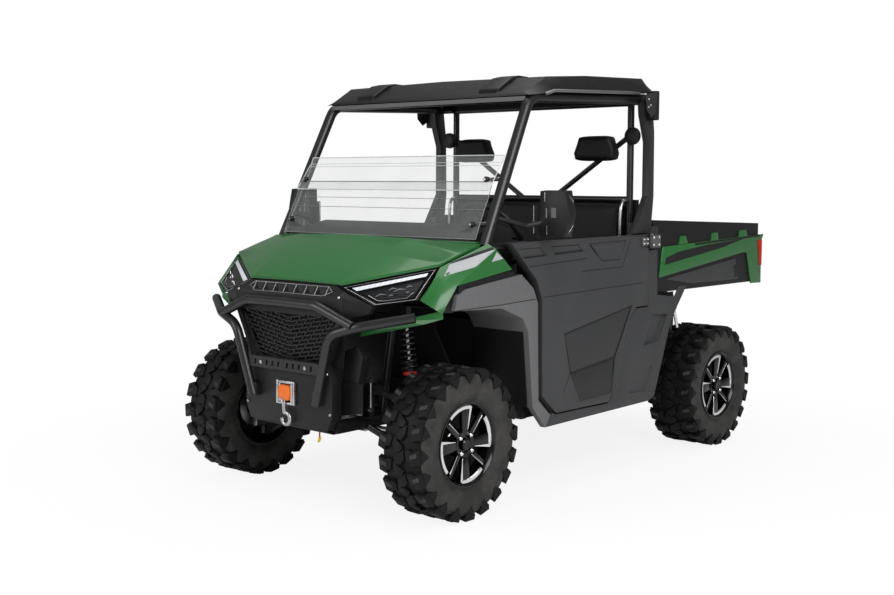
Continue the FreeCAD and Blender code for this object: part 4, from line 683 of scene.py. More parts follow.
class VEHICLE_OT_panels(bpy.types.Operator):
    """Body panels, bed and cab trim with moulded edges"""
    bl_idname = "vehicle.panels"
    bl_label = "Panels"

    def execute(self, context):
        make_paints(context.scene.vehicle_colours)
        for node, paint in PLAIN:
            painted(frame["nodes"][node], paint)
        for row in SKINS:
            softened(*row)
        flares = bpy.data.objects["flares_skin"].data
        flares.materials.append(PAINTS["black"])
        for face in flares.polygons:
            if max(abs(flares.vertices[i].co.x) for i in face.vertices) < ARCH_LINER_X:
                face.material_index = 1
        return {"FINISHED"}


# Wheels

RIM_INSET = 0.022
RIM_LIP = 0.193
HUB_TURN = 5.0
FACE_INSET = 0.008
LUG_ROOT = 0.012
LUG_SINK = 0.0032
WHEEL_PARTS = (("tread", "tyre", "tyre_"), ("rim_face", "wheel_metal", "rim_"),
               ("disc", "machined_metal", ""))


def tyre_model(half, radius, settings):
    """Casing with ribbed walls, two rows of shoulder lugs and two rows of middle lugs."""
    base = radius - settings.lug_height
    bead = half - RIM_INSET
    wall = [(bead, 0.181), (bead + 0.004, RIM_LIP - 0.004), (bead + 0.002, RIM_LIP + 0.004),
            (bead + 0.01, RIM_LIP + 0.016), (bead + 0.016, RIM_LIP + 0.03), (half - 0.004, RIM_LIP + 0.05),
            (half - 0.001, RIM_LIP + 0.075), (half - 0.003, base - 0.035), (half - 0.012, base - 0.014),
            (half - 0.034, base - 0.002)]
    profile = wall + [(0, base + 0.001)] + [(-x, r) for x, r in reversed(wall)] + [wall[0]]
    casing = painted(lathe(profile, steps=96), "wall", "rubber")
    for face in casing.data.polygons:
        if math.hypot(face.center.y, face.center.z) > base - LUG_ROOT:
            face.material_index = 1
    shoulder = [(half - 0.004, -0.032), (half - 0.001, 0.036), (half * 0.66, 0.05), (half * 0.6, 0.03),
                (half * 0.37, 0.026), (half * 0.31, -0.022), (half * 0.5, -0.03), (half * 0.62, -0.018)]
    middle = [(half * 0.26, -0.024), (half * 0.31, 0.02), (half * 0.12, 0.05), (-half * 0.14, 0.046),
              (-half * 0.22, 0.022), (-half * 0.04, 0.004)]
    block = [(half * 0.9, -0.016), (half * 0.9, 0.004), (half * 0.6, 0.016), (half * 0.58, -0.002)]
    fang = [(-0.032, -base + 0.006), (0.036, -base + 0.006), (0.012, -base + 0.052), (0.004, -base + 0.052)]
    pieces = [casing]
    for flip, start in ((1, 0.0), (-1, 180.0 / settings.lug_count)):
        row = []
        for outline in (shoulder, middle):
            lug = plate([(flip * x, y, -base + LUG_ROOT) for x, y in outline],
                        (0, 0, LUG_SINK - LUG_ROOT - settings.lug_height))
            edit(lug, "DESELECT")
            select_faces(lug, lambda centre, normal: centre.z < -base - 0.006 and abs(normal.z) > 0.9)
            bpy.ops.transform.resize(value=(0.93, 0.9, 1.0))
            leave()
            row.append(painted(rounded(lug, 0.0025), "rubber"))
        inset = [(flip * x, y) for x, y in block]
        row.append(panel("Z", -radius + 0.006, inset, -0.0055, "wall", 0.0015, 1))
        row.append(panel("X", flip * (half - 0.012), fang, flip * 0.0135, "rubber", 0.003, 1))
        for piece in row:
            pieces += turned_copies(piece, settings.lug_count, start)
    return joined(pieces)


def rim_model(half, settings):
    """Gloss black rim: barrel, four wide and four narrow spokes with bright edges, hub, cap and nuts."""
    bead = half - RIM_INSET
    face = bead - FACE_INSET
    barrel = [(-bead - 0.009, 0.19), (-bead - 0.009, 0.184), (-bead, 0.172), (-bead * 0.4, 0.166),
              (bead - 0.02, 0.166), (bead + 0.004, 0.177), (bead + 0.009, 0.184), (bead + 0.009, 0.19),
              (bead, 0.19), (bead, 0.178), (-bead, 0.178), (-bead, 0.19), (-bead - 0.009, 0.19)]
    pieces = [painted(lathe(barrel, steps=72), "rim")]
    foot, tip = face - 0.02, face - 0.014
    for back, front, start in ((-0.05, 0.016, 0), (-0.009, 0.011, 45)):
        corners = [(foot, back * 0.3 - 0.008, -0.05), (foot, front * 0.5 + 0.006, -0.05),
                   (tip, front, -0.17), (tip, back, -0.17)]
        pieces += turned_copies(slab(corners, (0.017, 0, 0), "rim", 0.003), 4, start)
    edge = [(face - 0.004, -0.0215, -0.06), (face - 0.004, -0.0255, -0.064),
            (face + 0.0035, -0.051, -0.16), (face + 0.0035, -0.0375, -0.165)]
    stub = [(face - 0.003, -0.0095, -0.066), (face - 0.003, -0.0125, -0.066),
            (face + 0.0032, -0.012, -0.158), (face + 0.0032, -0.006, -0.158)]
    for corners, paint, start in ((edge, "bright", 0), (stub, "zinc", 45)):
        pieces += turned_copies(slab(corners, (0.0018, 0, 0), paint, 0.0006, 1), 4, start)
    arc = lathe([(face + 0.0005, 0.155), (face + 0.001, 0.172), (face + 0.006, 0.172),
                 (face + 0.006, 0.1585)], 50.0, 14)
    arc.data.transform(Matrix.Rotation(math.radians(35.0), 4, "X"))
    pieces += turned_copies(painted(arc, "bright"), 4)
    # A dark dish behind the spokes: painted shade inside the wheel, closing the view through it
    dish = [(face - 0.07, 0.05), (face - 0.07, 0.15), (face - 0.062, 0.166), (face - 0.066, 0.166),
            (face - 0.074, 0.15), (face - 0.074, 0.05), (face - 0.07, 0.05)]
    pieces.append(painted(lathe(dish), "painted_shade_black"))
    hub = [(face - 0.05, 0.021), (face - 0.05, 0.062), (face - 0.012, 0.064), (face - 0.002, 0.058),
           (face - 0.004, 0.04), (face - 0.012, 0.036), (face - 0.012, 0.0)]
    pieces.append(painted(lathe(hub), "rim"))
    cap = [(face - 0.014, 0.0), (face - 0.014, 0.029), (face + 0.006, 0.027), (face + 0.011, 0.021),
           (face + 0.011, 0.008), (face + 0.009, 0.0)]
    pieces.append(painted(lathe(cap, steps=32), "rim"))
    nut = lathe([(face - 0.006, 0.0), (face - 0.006, 0.0105), (face + 0.006, 0.0095),
                 (face + 0.01, 0.006), (face + 0.011, 0.0)], steps=12)
    nut.data.transform(Matrix.Translation((0, 0, -settings.nut_radius + 0.006)))
    pieces += turned_copies(painted(nut, "bright"), 4, 45)
    rim = joined(pieces)
    rim.data.transform(Matrix.Rotation(math.radians(HUB_TURN), 4, "X"))
    return rim


def disc_model():
    profile = [(-0.03, 0.06), (-0.03, 0.105), (-0.025, 0.107), (-0.025, 0.06), (-0.03, 0.06)]
    return painted(lathe(profile), "zinc")


class VEHICLE_OT_wheels(bpy.types.Operator):
    """Tyres with lugs, rims with bright-edged spokes, and brake discs"""
    bl_idname = "vehicle.wheels"
    bl_label = "Wheels"

    def execute(self, context):
        settings = context.scene.vehicle_wheels
        for end in ("front", "rear"):
            low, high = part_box("tyre_%s_left" % end)
            half, radius = (high.x - low.x) / 2, (high.z - low.z) / 2
            masters = (tyre_model(half, radius, settings), rim_model(half, settings), disc_model())
            for hand, side in SIDES:
                wheel = "%s_%s" % (end, hand)
                low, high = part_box("tyre_" + wheel)
                turn = Matrix.Rotation(math.pi, 4, "Z") if side < 0 else Matrix.Identity(4)
                place = Matrix.Translation((low + high) / 2) @ turn
                for master, (kind, slot, node) in zip(masters, WHEEL_PARTS):
                    nodes = (node + wheel,) if node else ()
                    finish(copy_of(master, place), "%s_%s" % (kind, wheel), "wheel_" + wheel, nodes)
            for master in masters:
                bpy.data.objects.remove(master)
        return {"FINISHED"}


# Headlamps, drawn on the four corners of the lamp's opening

NOSE = Vector((0.309, -1.495, 1.026))
TIP = Vector((0.672, -1.272, 1.116))
OUT = Vector((0.666, -1.396, 0.986))
IN = Vector((0.499, -1.488, 0.957))
LAMP_DEPTH = Vector((-0.03, 0.055, -0.004))
CHEVRONS = ((-0.058, 0.026, 0.0), (0.03, 0.032, 0.006), (-0.012, 0.018, -0.012),
            (0.075, 0.016, 0.012), (0.0, 0.022, 0.016), (0.062, 0.014, -0.012))


class VEHICLE_OT_lamps(bpy.types.Operator):
    """Headlamps: housing, light bar, dark lens, bright chevrons and thin bright lines"""
    bl_idname = "vehicle.lamps"
    bl_label = "Lamps"

    def execute(self, context):
        quad = [NOSE, TIP, OUT, IN]
        middle = (NOSE + TIP + OUT + IN) / 4
        inward = LAMP_DEPTH.normalized()
        housing = plate(quad, LAMP_DEPTH)
        edit(housing, "DESELECT")
        select_faces(housing, lambda centre, normal: (centre - middle).length < 0.01)
        bpy.ops.mesh.inset(thickness=0.009, depth=0)
        bpy.ops.mesh.extrude_region_move(TRANSFORM_OT_translate={"value": inward * 0.012})
        leave()
        painted(rounded(housing, 0.002), "gloss")

        nose, tip, out, low = (p.lerp(middle, 0.2) for p in quad)
        bar = slab([nose, tip, tip.lerp(out, 0.14), nose.lerp(low, 0.2)], -inward * 0.004, "light", 0.002)
        corners = [nose.lerp(low, 0.3), tip.lerp(out, 0.24), out, low]
        lens = slab([p + inward * 0.006 for p in corners], inward * 0.003, "smoke", 0.001, 1)

        core = (corners[0] + corners[1] + out + low) / 4
        along = (tip - nose).normalized()
        upward = inward.cross(along).normalized()
        if upward.z < 0:
            upward = -upward
        chevrons = []
        for shift, reach, lift in CHEVRONS:
            at = core + along * shift + upward * lift + inward * 0.001
            outline = [at - along * reach, at + upward * 0.009, at + along * reach,
                       at + along * (reach - 0.007), at + upward * 0.004, at - along * (reach - 0.007)]
            chevrons.append(slab(outline, -inward * 0.002, "bright"))

        border = []
        for corner in quad:
            point = corner.lerp(middle, 0.03)
            border.append(point - (point - middle).normalized() * 0.006 - inward * 0.001)
        fold = [corners[0].lerp(low, 0.35), low.lerp(corners[0], 0.12), low.lerp(out, 0.12),
                out.lerp(low, 0.1), out.lerp(corners[1], 0.3)]
        fold = [p.lerp(middle, 0.1) - inward * 0.001 for p in fold]
        both(housing, "lamp_housing", "root", ("headlamps",))
        for piece, name in ((bar, "lamp_bar"), (lens, "lamp_lens"), (joined(chevrons), "lamp_reflector"),
                            (painted(tube(border, 0.0016, closed=True), "zinc"), "lamp_line"),
                            (painted(tube(fold, 0.0012), "zinc"), "lamp_fold")):
            both(piece, name, "root")
        return {"FINISHED"}


# Nose

LATTICE_TOP = (0.335, 0.898)
LATTICE_LOW = (0.215, 0.676)
LATTICE_FRONT = -1.531
LATTICE_DEPTH = 0.012
LATTICE_TILT = 0.17
LATTICE_FRAME = 0.014
LATTICE_ROWS = range(-3, 12)
LATTICE_COLUMNS = 7
LATTICE_OVERLAP = 0.01
FIRST_ROW = 0.012
SLAT_WIDTH = 0.0045
ROW_PITCH = 0.0185
CELL_PITCH = 0.058
VENT_LOW = (-1.5465, 0.975)
VENT_SLOPE = 0.034 / 0.056
VENT_PITCH = 0.07
BAR_SEAMS = ((-0.205, 0.9454), (-0.195, 0.946), (0.195, 0.946), (0.205, 0.9454))
BAR_Y = -1.583
PLATE_Y = -1.546
PLATE_BOLTS = ((-0.15, -1.5765, 0.66), (0.15, -1.5765, 0.66))
NOSE_BOLTS = ((0.34, 0.985), (0.34, 0.905), (0.262, 0.64), (0.28, 0.46))
FAIRLEAD_BARS = ((-0.062, 0.477, -0.05, 0.585), (0.05, 0.477, 0.062, 0.585),
                 (-0.05, 0.573, 0.05, 0.585), (-0.05, 0.477, 0.05, 0.487))
HOOK_CENTRE = Vector((0.012, -1.566, 0.414))
HOOK_RADIUS = 0.027
HOOK_POINTS = 13
HOOK_START = 115
HOOK_STEP = 24.5


def grille_lattice():
    """Rows of slats that dip to the middle, crossed by slanted links, inside a narrow frame."""
    (top_x, top_z), (low_x, low_z) = LATTICE_TOP, LATTICE_LOW
    bars = []

    def spot(x, z):
        return Vector((x, LATTICE_FRONT, z))

    def bar(first, last, width=SLAT_WIDTH):
        bars.append(strip(first, last, width, (0, -1, 0), (0, LATTICE_DEPTH, 0)))

    def inside(point, margin=0.0):
        half_width = low_x + (point.z - low_z) / (top_z - low_z) * (top_x - low_x)
        return low_z < point.z < top_z and abs(point.x) < half_width + margin

    corners = [spot(-top_x, top_z), spot(top_x, top_z), spot(low_x, low_z), spot(-low_x, low_z)]
    for first, last in zip(corners, corners[1:] + corners[:1]):
        bar(first, last, LATTICE_FRAME)
    for row in LATTICE_ROWS:
        middle_z = low_z + row * ROW_PITCH + FIRST_ROW
        for side in (1, -1):
            for column in range(LATTICE_COLUMNS):
                x = column * CELL_PITCH
                ends = [spot(side * end, middle_z + LATTICE_TILT * end) for end in (x, x + CELL_PITCH)]
                if all(inside(end, LATTICE_OVERLAP) for end in ends):
                    bar(*ends)
                x += (row % 3) * CELL_PITCH / 3
                low = spot(side * x, middle_z + LATTICE_TILT * x)
                x += CELL_PITCH / 3
                high = spot(side * x, middle_z + LATTICE_TILT * x + ROW_PITCH)
                if low.z > low_z and inside(high):
                    bar(low, high)
    return painted(joined(bars), "lattice")


def vent_frame():
    """A dull outline with eight ribs over the vent below the hood's edge."""
    def brow(x, z):
        low_y, low_z = VENT_LOW
        return x, low_y + (z - low_z) * VENT_SLOPE, z

    outline = [brow(x, z) for x, z in ((-0.28, 1.006), (-0.248, 1.026), (0.248, 1.026), (0.28, 1.006),
                                       (0.228, 0.986), (-0.228, 0.986))]
    lines = [tube(outline, 0.0028, closed=True)]
    for i in range(8):
        x = (i - 3.5) * VENT_PITCH
        lines.append(tube([brow(x, 0.987), brow(x, 1.025)], 0.002))
    return painted(joined(lines), "zinc_dull")


def bar_seams():
    """Fine rings round the bull bar's upper tube where its sleeves end."""
    rings = []
    for x, z in BAR_SEAMS:
        ring = lathe([(-0.0015, 0.0212), (-0.0015, 0.0219), (0.0015, 0.0219), (0.0015, 0.0212),
                      (-0.0015, 0.0212)], steps=32)
        ring.data.transform(Matrix.Translation((x, BAR_Y, z)))
        rings.append(ring)
    return painted(joined(rings), "steel")


def winch_hook():
    """A bent hook on a shank, with its eye and latch."""
    y, z = HOOK_CENTRE.y, HOOK_CENTRE.z
    points = [(-0.002, y, z + 0.094), (-0.003, y, z + 0.064), (0.0, y, z + 0.036)]
    for i in range(HOOK_POINTS):
        turn = math.radians(HOOK_START - i * HOOK_STEP)
        points.append(HOOK_CENTRE + HOOK_RADIUS * Vector((math.cos(turn), 0, math.sin(turn))))
    hook = painted(tube(points, 0.0095, curved=True), "alloy")
    eye = lathe([(-0.006, 0.011), (-0.006, 0.019), (0.006, 0.019), (0.006, 0.011), (-0.006, 0.011)], steps=24)
    eye.data.transform(Matrix.Translation((-0.002, -1.562, 0.5)))
    latch = tube([(0.002, y, 0.444), (0.032, y, 0.434)], 0.004)
    return joined([hook, painted(eye, "bright"), painted(latch, "zinc")])


class VEHICLE_OT_nose(bpy.types.Operator):
    """Vent frame, bar seams, bolts, fairlead, rope block, hook, lattice, cheek strips and covers"""
    bl_idname = "vehicle.nose"
    bl_label = "Nose"

    def execute(self, context):
        finish(vent_frame(), "vent_frame", "root")
        finish(bar_seams(), "bar_seams", "root")
        heads = bolts(PLATE_BOLTS, (0, -1, 0), 0.009)
        spots = [(side * x, PLATE_Y, z) for side in (1, -1) for x, z in NOSE_BOLTS]
        heads += bolts(spots, (0, -1, 0), 0.007)
        finish(joined(heads), "nose_bolts", "root")

        bars = [panel("Y", PLATE_Y, rectangle(*bar), -0.016, "zinc") for bar in FAIRLEAD_BARS]
        finish(rounded(joined(bars), 0.002), "fairlead", "root", ("winch",))
        rollers = [tube([(x, -1.556, 0.489), (x, -1.556, 0.571)], 0.008, ring=5) for x in (-0.04, 0.04)]
        finish(painted(joined(rollers), "zinc"), "rollers", "root")
        block = [(-0.03, 0.5), (0.03, 0.496), (0.044, 0.53), (0.03, 0.566), (-0.026, 0.568),
                 (-0.044, 0.536)]
        finish(panel("Y", PLATE_Y, block, -0.03, "rope", 0.009, 4), "rope_block", "root")
        finish(winch_hook(), "hook", "root")

        backing = panel("Y", -1.504, rectangle(-0.325, 0.668, 0.325, 0.905), 0.002, "black")
        finish(backing, "grille_backing", "root")
        seal = [(-0.27, 1.004), (0.27, 1.004), (0.27, 1.038), (-0.27, 1.04)]
        finish(panel("Y", -1.484, seal, 0.004, "black"), "hood_seal", "root")
        finish(grille_lattice(), "grille_lattice", "root", ("grille",))
        line = [(0.309, -1.39, 0.797), (0.526, -1.375, 0.845), (0.665, -1.35, 0.878),
                (0.748, -1.322, 0.905), (0.744, -1.322, 0.94), (0.526, -1.375, 0.882),
                (0.33, -1.39, 0.828)]
        both(slab(line, (0, 0.003, 0), "green"), "cheek_strip", "root")
        pod = [(0.262, 0.56), (0.33, 0.566), (0.362, 0.6), (0.386, 0.72), (0.35, 0.765), (0.275, 0.74)]
        both(panel("Y", -1.452, pod, 0.06, "black", 0.008, 3), "side_pod", "root")
        cover = [(0.255, 0.44), (0.395, 0.47), (0.395, 0.6), (0.255, 0.6)]
        both(panel("Y", -1.455, cover, 0.003, "painted_shade_black"), "nose_cover", "root")
        corner = [(0.49, -0.986, 1.222), (0.615, -0.986, 1.222), (0.606, -0.962, 1.29),
                  (0.59, -0.966, 1.28), (0.5, -0.975, 1.254)]
        both(slab(corner, (0, 0.003, 0), "black"), "cowl_corner", "root")

        strap = tube([(0.176, -1.512, 0.392), (0.172, -1.508, 0.362), (0.166, -1.503, 0.338)], 0.0035)
        finish(painted(strap, "collar"), "tow_strap", "root")
        tag = [(0.16, 0.338), (0.178, 0.344), (0.17, 0.318), (0.152, 0.312)]
        finish(panel("Y", -1.502, tag, -0.002, "tag"), "tow_tag", "root")
        return {"FINISHED"}


# Windshield: the (y, z) line of each sheet, the paint of its edges (a painted highlight along the cut edges)
# and the node it stands for

SHEETS = (
    ("low", ((-0.99, 1.232), (-0.928, 1.365), (-0.902, 1.412), (-0.868, 1.492)), "dull_edge_highlight",
     ("windshield",)),
    ("top", ((-0.896, 1.452), (-0.811, 1.568), (-0.796, 1.582), (-0.782, 1.615)), "edge", ()),
)
SHEET_THICKNESS = 0.004
EDGE_WIDTHS = (0.0022, 0.0012, 0.0012, 0.0022)
CLAMP_X = 0.612
CLAMPS = ((-0.862, 1.503), (-0.964, 1.299))
CLAMP_KNOB = ((-0.012, 0.0), (-0.012, 0.012), (0.004, 0.014), (0.012, 0.009), (0.013, 0.0))


class VEHICLE_OT_windshield(bpy.types.Operator):
    """Two bent clear sheets that overlap, with their clamps"""
    bl_idname = "vehicle.windshield"
    bl_label = "Windshield"

    def execute(self, context):
        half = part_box("windshield")[1].x
        for key, line, paint, nodes in SHEETS:
            back = [(y + SHEET_THICKNESS, z) for y, z in reversed(line)]
            sheet = panel("X", -half, [*line, *back], 2 * half, "glass")
            finish(sheet, "sheet_" + key, "root", nodes)
            edges = [tube([(-half, y - 0.001, z), (half, y - 0.001, z)], width)
                     for (y, z), width in zip(line, EDGE_WIDTHS)]
            edges += [tube([(x, y, z) for y, z in line], 0.0018) for x in (-half, half)]
            finish(painted(joined(edges), paint), "sheet_edges_" + key, "root")
        parts = []
        for y, z in CLAMPS:
            knob = lathe(CLAMP_KNOB, steps=20)
            place = Matrix.Translation((CLAMP_X, y - 0.008, z))
            knob.data.transform(place @ Matrix.Rotation(math.radians(-90), 4, "Z"))
            stud = tube([(CLAMP_X, y - 0.022, z), (CLAMP_X, y + 0.026, z)], 0.005)
            strap = tube([(CLAMP_X, y + 0.016, z), (0.66, y + 0.042, z + 0.004)], 0.008)
            parts += [painted(knob, "black"), painted(stud, "zinc"), painted(strap, "zinc")]
        both(joined(parts), "clamps", "root")
        return {"FINISHED"}


# Suspension

STRUTS = (("front", -1.19, 0.855), ("rear", 0.99, 0.826))
STRUT_FOOT = (0.445, 0.517)
STRUT_TOP_X = 0.41
STRUT_CUPS = ((0.3, 0.034, "collar"), (0.95, 0.036, "steel"))
COIL_STEPS = 14
SWAY_LINK = (0.352, -1.362, 0.47, 0.6)


def coil(low, high, radius, wire, turns):
    """A coil spring between two points."""
    along = high - low
    steps = turns * COIL_STEPS
    points = []
    for i in range(steps + 1):
        turn = 2 * math.pi * i / COIL_STEPS
        points.append((radius * math.cos(turn), radius * math.sin(turn), along.length * i / steps))
    spring = tube(points, wire, ring=2)
    turn = Vector((0, 0, 1)).rotation_difference(along).to_matrix().to_4x4()
    spring.data.transform(Matrix.Translation(low) @ turn)
    return spring


class VEHICLE_OT_suspension(bpy.types.Operator):
    """Shock absorbers with coil springs, and the sway bar's links"""
    bl_idname = "vehicle.suspension"
    bl_label = "Suspension"

    def execute(self, context):
        for end, y, top_z in STRUTS:
            low, high = Vector((STRUT_FOOT[0], y, STRUT_FOOT[1])), Vector((STRUT_TOP_X, y, top_z))
            along = high - low
            parts = [painted(tube([low, low + along * 0.5], 0.021), "steel"),
                     painted(tube([low + along * 0.4, high], 0.009), "bright")]
            for share, radius, paint in STRUT_CUPS:
                at = low + along * share
                parts.append(painted(tube([at, at + along * 0.04], radius), paint))
            spring = coil(low + along * 0.34, low + along * 0.95, 0.034, 0.0062, 8)
            parts.append(painted(spring, "spring"))
            nodes = ("shocks",) if end == "front" else ()
            both(joined(parts), "strut_" + end, "root", nodes)
        x, y, low_z, high_z = SWAY_LINK
        link = [tube([(x, y, low_z), (x, y, high_z)], 0.006)]
        link += [tube([(x - 0.008, y, z), (x + 0.008, y, z)], 0.011) for z in (low_z, high_z)]
        both(painted(joined(link), "zinc"), "sway_link", "root")
        return {"FINISHED"}


# Cab

PADS = (("seat_cushions", 0.014), ("seat_backs", 0.01), ("headrests", 0.005))
PAD_VOXEL = 0.0085
PAD_PRESSURE = 4.0
PAD_FRAMES = 20
PILLAR_PAD = ((-0.016, 0.0), (-0.016, 0.032), (-0.008, 0.044), (0.01, 0.046), (0.016, 0.04), (0.016, 0.0))
PILLAR_PAD_PLACE = (0.64, 0.3, 1.735)
MIRROR_GLASS = ((0.8, 1.262), (0.918, 1.262), (0.936, 1.347), (0.918, 1.434), (0.8, 1.434))
GRAB_BAR = ((0.6, 0.352, 1.11), (0.6, 0.275, 1.13), (0.6, 0.257, 1.2), (0.6, 0.2587, 1.3217),
            (0.6, 0.2677, 1.38), (0.6, 0.305, 1.405), (0.6, 0.352, 1.385))


def cushion(node, cap):
    """A padded copy of a CAD solid, filled out by a short cloth simulation."""
    piece = copied(node)
    take(piece)
    piece.data.remesh_voxel_size = PAD_VOXEL
    bpy.ops.object.voxel_remesh()
    cloth = piece.modifiers.new("Cloth", "CLOTH")
    cloth.settings.use_pressure = True
    cloth.settings.uniform_pressure_force = PAD_PRESSURE
    cloth.settings.effector_weights.gravity = 0.0
    cloth.settings.quality = 6
    cloth.point_cache.frame_end = PAD_FRAMES
    start = [vertex.co.copy() for vertex in piece.data.vertices]
    for number in range(1, PAD_FRAMES + 1):
        bpy.context.scene.frame_set(number)
    take(piece)
    bpy.ops.object.modifier_apply(modifier=cloth.name)
    for vertex, place in zip(piece.data.vertices, start):
        shift = vertex.co - place
        if shift.length > cap:
            vertex.co = place + shift.normalized() * cap
    bpy.context.scene.frame_set(1)
    edit(piece)
    bpy.ops.mesh.vertices_smooth(factor=0.5, repeat=4)
    leave()
    smooth(piece, 60)
    return piece


class VEHICLE_OT_cab(bpy.types.Operator):
    """Padded seats and headrests, mirror glass, grab bars and pillar pads"""
    bl_idname = "vehicle.cab"
    bl_label = "Cab"

    def execute(self, context):
        for node, cap in PADS:
            piece = painted(cushion(node, cap), "vinyl")
            finish(piece, node + "_padded", "root", (node,))
        both(panel("Y", -0.6345, MIRROR_GLASS, 0.001, "bright"), "mirror_glass", "root")
        both(painted(tube(GRAB_BAR, 0.009, curved=True), "zinc"), "grab_bar", "root")
        pad = lathe(PILLAR_PAD)
        pad.data.transform(Matrix.Translation(PILLAR_PAD_PLACE) @ Matrix.Rotation(math.radians(90), 4, "Z"))
        both(painted(pad, "black"), "pillar_pad", "root")
        return {"FINISHED"}


# Hinges: each leaf's level and rectangle, then its bolts' places and size

DOOR_LEAF = (0.778, (0.202, 1.166, 0.262, 1.208), (0.214, 0.246), (1.176, 1.198), 0.006)
PILLAR_LEAF = (0.783, (0.286, 1.154, 0.366, 1.218), (0.3, 0.352), (1.166, 1.206), 0.007)
LEAF_THICKNESS = 0.002


def hinge_leaf(x, sides, across, up, bolt_radius):
    """A thin leaf with four bolts, as a list of pieces."""
    leaf = panel("X", x, rectangle(*sides), LEAF_THICKNESS, "zinc_dull", 0.0008, 1)
    return [leaf] + bolts([(x + LEAF_THICKNESS, y, z) for y in across for z in up], (1, 0, 0), bolt_radius)


class VEHICLE_OT_fittings(bpy.types.Operator):
    """Hinge leaves with their bolts, on the doors and on the pillars"""
    bl_idname = "vehicle.fittings"
    bl_label = "Hinges"

    def execute(self, context):
        both(joined(hinge_leaf(*DOOR_LEAF)), "door_leaf", "door_*")
        fixed = hinge_leaf(*PILLAR_LEAF)
        for y in (0.27, 0.283):
            fixed.append(painted(tube([(0.786, y, 1.154), (0.786, y, 1.226)], 0.0045), "bright"))
        both(joined(fixed), "pillar_leaf", "root")
        return {"FINISHED"}


# Roof and pillars

POD_OUTLINE = ((-0.638, 1.9), (-0.622, 1.936), (-0.52, 1.996), (-0.46, 2.008), (-0.385, 2.006),
               (-0.36, 1.985), (-0.49, 1.975), (-0.6, 1.905))
# Line of a painted highlight along the cage's side tube, under the roof's edge
ROOF_RAIL_HIGHLIGHT = ((0.7, -0.545, 1.905), (0.716, -0.49, 1.922), (0.742, 0.1, 1.944), (0.742, 0.2, 1.944))
BRACKET = ((0.185, 1.94), (0.275, 1.952), (0.275, 1.845), (0.235, 1.825), (0.19, 1.862))
BRACKET_X = 0.792
BRACKET_BOLTS = ((0.205, 1.915), (0.225, 1.885), (0.205, 1.875))


class VEHICLE_OT_roof(bpy.types.Operator):
    """Roof shell, pods, header, front lip, side rails painted as the highlight along the cage's side tubes,
    and the brackets on the rear pillars
    """
    bl_idname = "vehicle.roof"
    bl_label = "Roof and pillars"

    def execute(self, context):
        roof = painted(rounded(copied("roof"), 0.008, 3, 28), "roof")
        finish(roof, "roof_shell", "root", ("roof",))
        both(panel("X", 0.355, POD_OUTLINE, 0.125, "roof", 0.006, 3), "roof_pod", "root")
        mouth = [(0.368, -0.6395, 1.902), (0.468, -0.6395, 1.902), (0.462, -0.6275, 1.928),
                 (0.374, -0.6275, 1.928)]
        both(slab(mouth, (0, -0.0015, 0.001), "gloss"), "pod_mouth", "root")
        header = panel("Y", 0.316, rectangle(-0.7, 1.908, 0.7, 1.951), -0.004, "black")
        finish(header, "rear_header", "root")
        lip = [(-0.655, -0.6405, 1.871), (0.655, -0.6405, 1.871), (0.655, -0.6425, 1.892),
               (-0.655, -0.6425, 1.892)]
        finish(slab(lip, (0, 0.003, 0), "flare", 0.001, 1), "roof_lip", "root")
        # Pale strip: painted highlight of the cage tube below the roof's side edge
        both(painted(tube(ROOF_RAIL_HIGHLIGHT, 0.008), "zinc_dull"), "roof_rail", "root")
        parts = [panel("X", BRACKET_X, BRACKET, 0.004, "pillar", 0.001, 1)]
        parts += bolts([(BRACKET_X + 0.004, y, z) for y, z in BRACKET_BOLTS], (1, 0, 0), 0.005)
        parts.append(panel("Y", 0.272, rectangle(0.74, 1.812, 0.8, 1.962), 0.034, "black", 0.006, 3))
        both(joined(parts), "pillar_bracket", "root")
        return {"FINISHED"}


# Pressed ribs of the bed and the tailgate

FLOOR_Z = 0.938
FLOOR_RIBS = 9
FLOOR_PITCH = 0.15
WALL_X = 0.7
WALL_RIBS = (0.62, 0.86, 1.1, 1.34)
GATE_Y = 1.587
GATE_BANDS = ((-0.6, 0.975, 0.6, 1.01), (-0.6, 1.165, 0.6, 1.2))
GATE_POSTS = (-0.585, -0.205, 0.205, 0.585)
GATE_BEZEL = ((-0.11, 1.198), (0.11, 1.198), (0.12, 1.24), (-0.12, 1.24))
GATE_GRIP = ((-0.08, 1.206), (0.08, 1.206), (0.085, 1.23), (-0.085, 1.23))


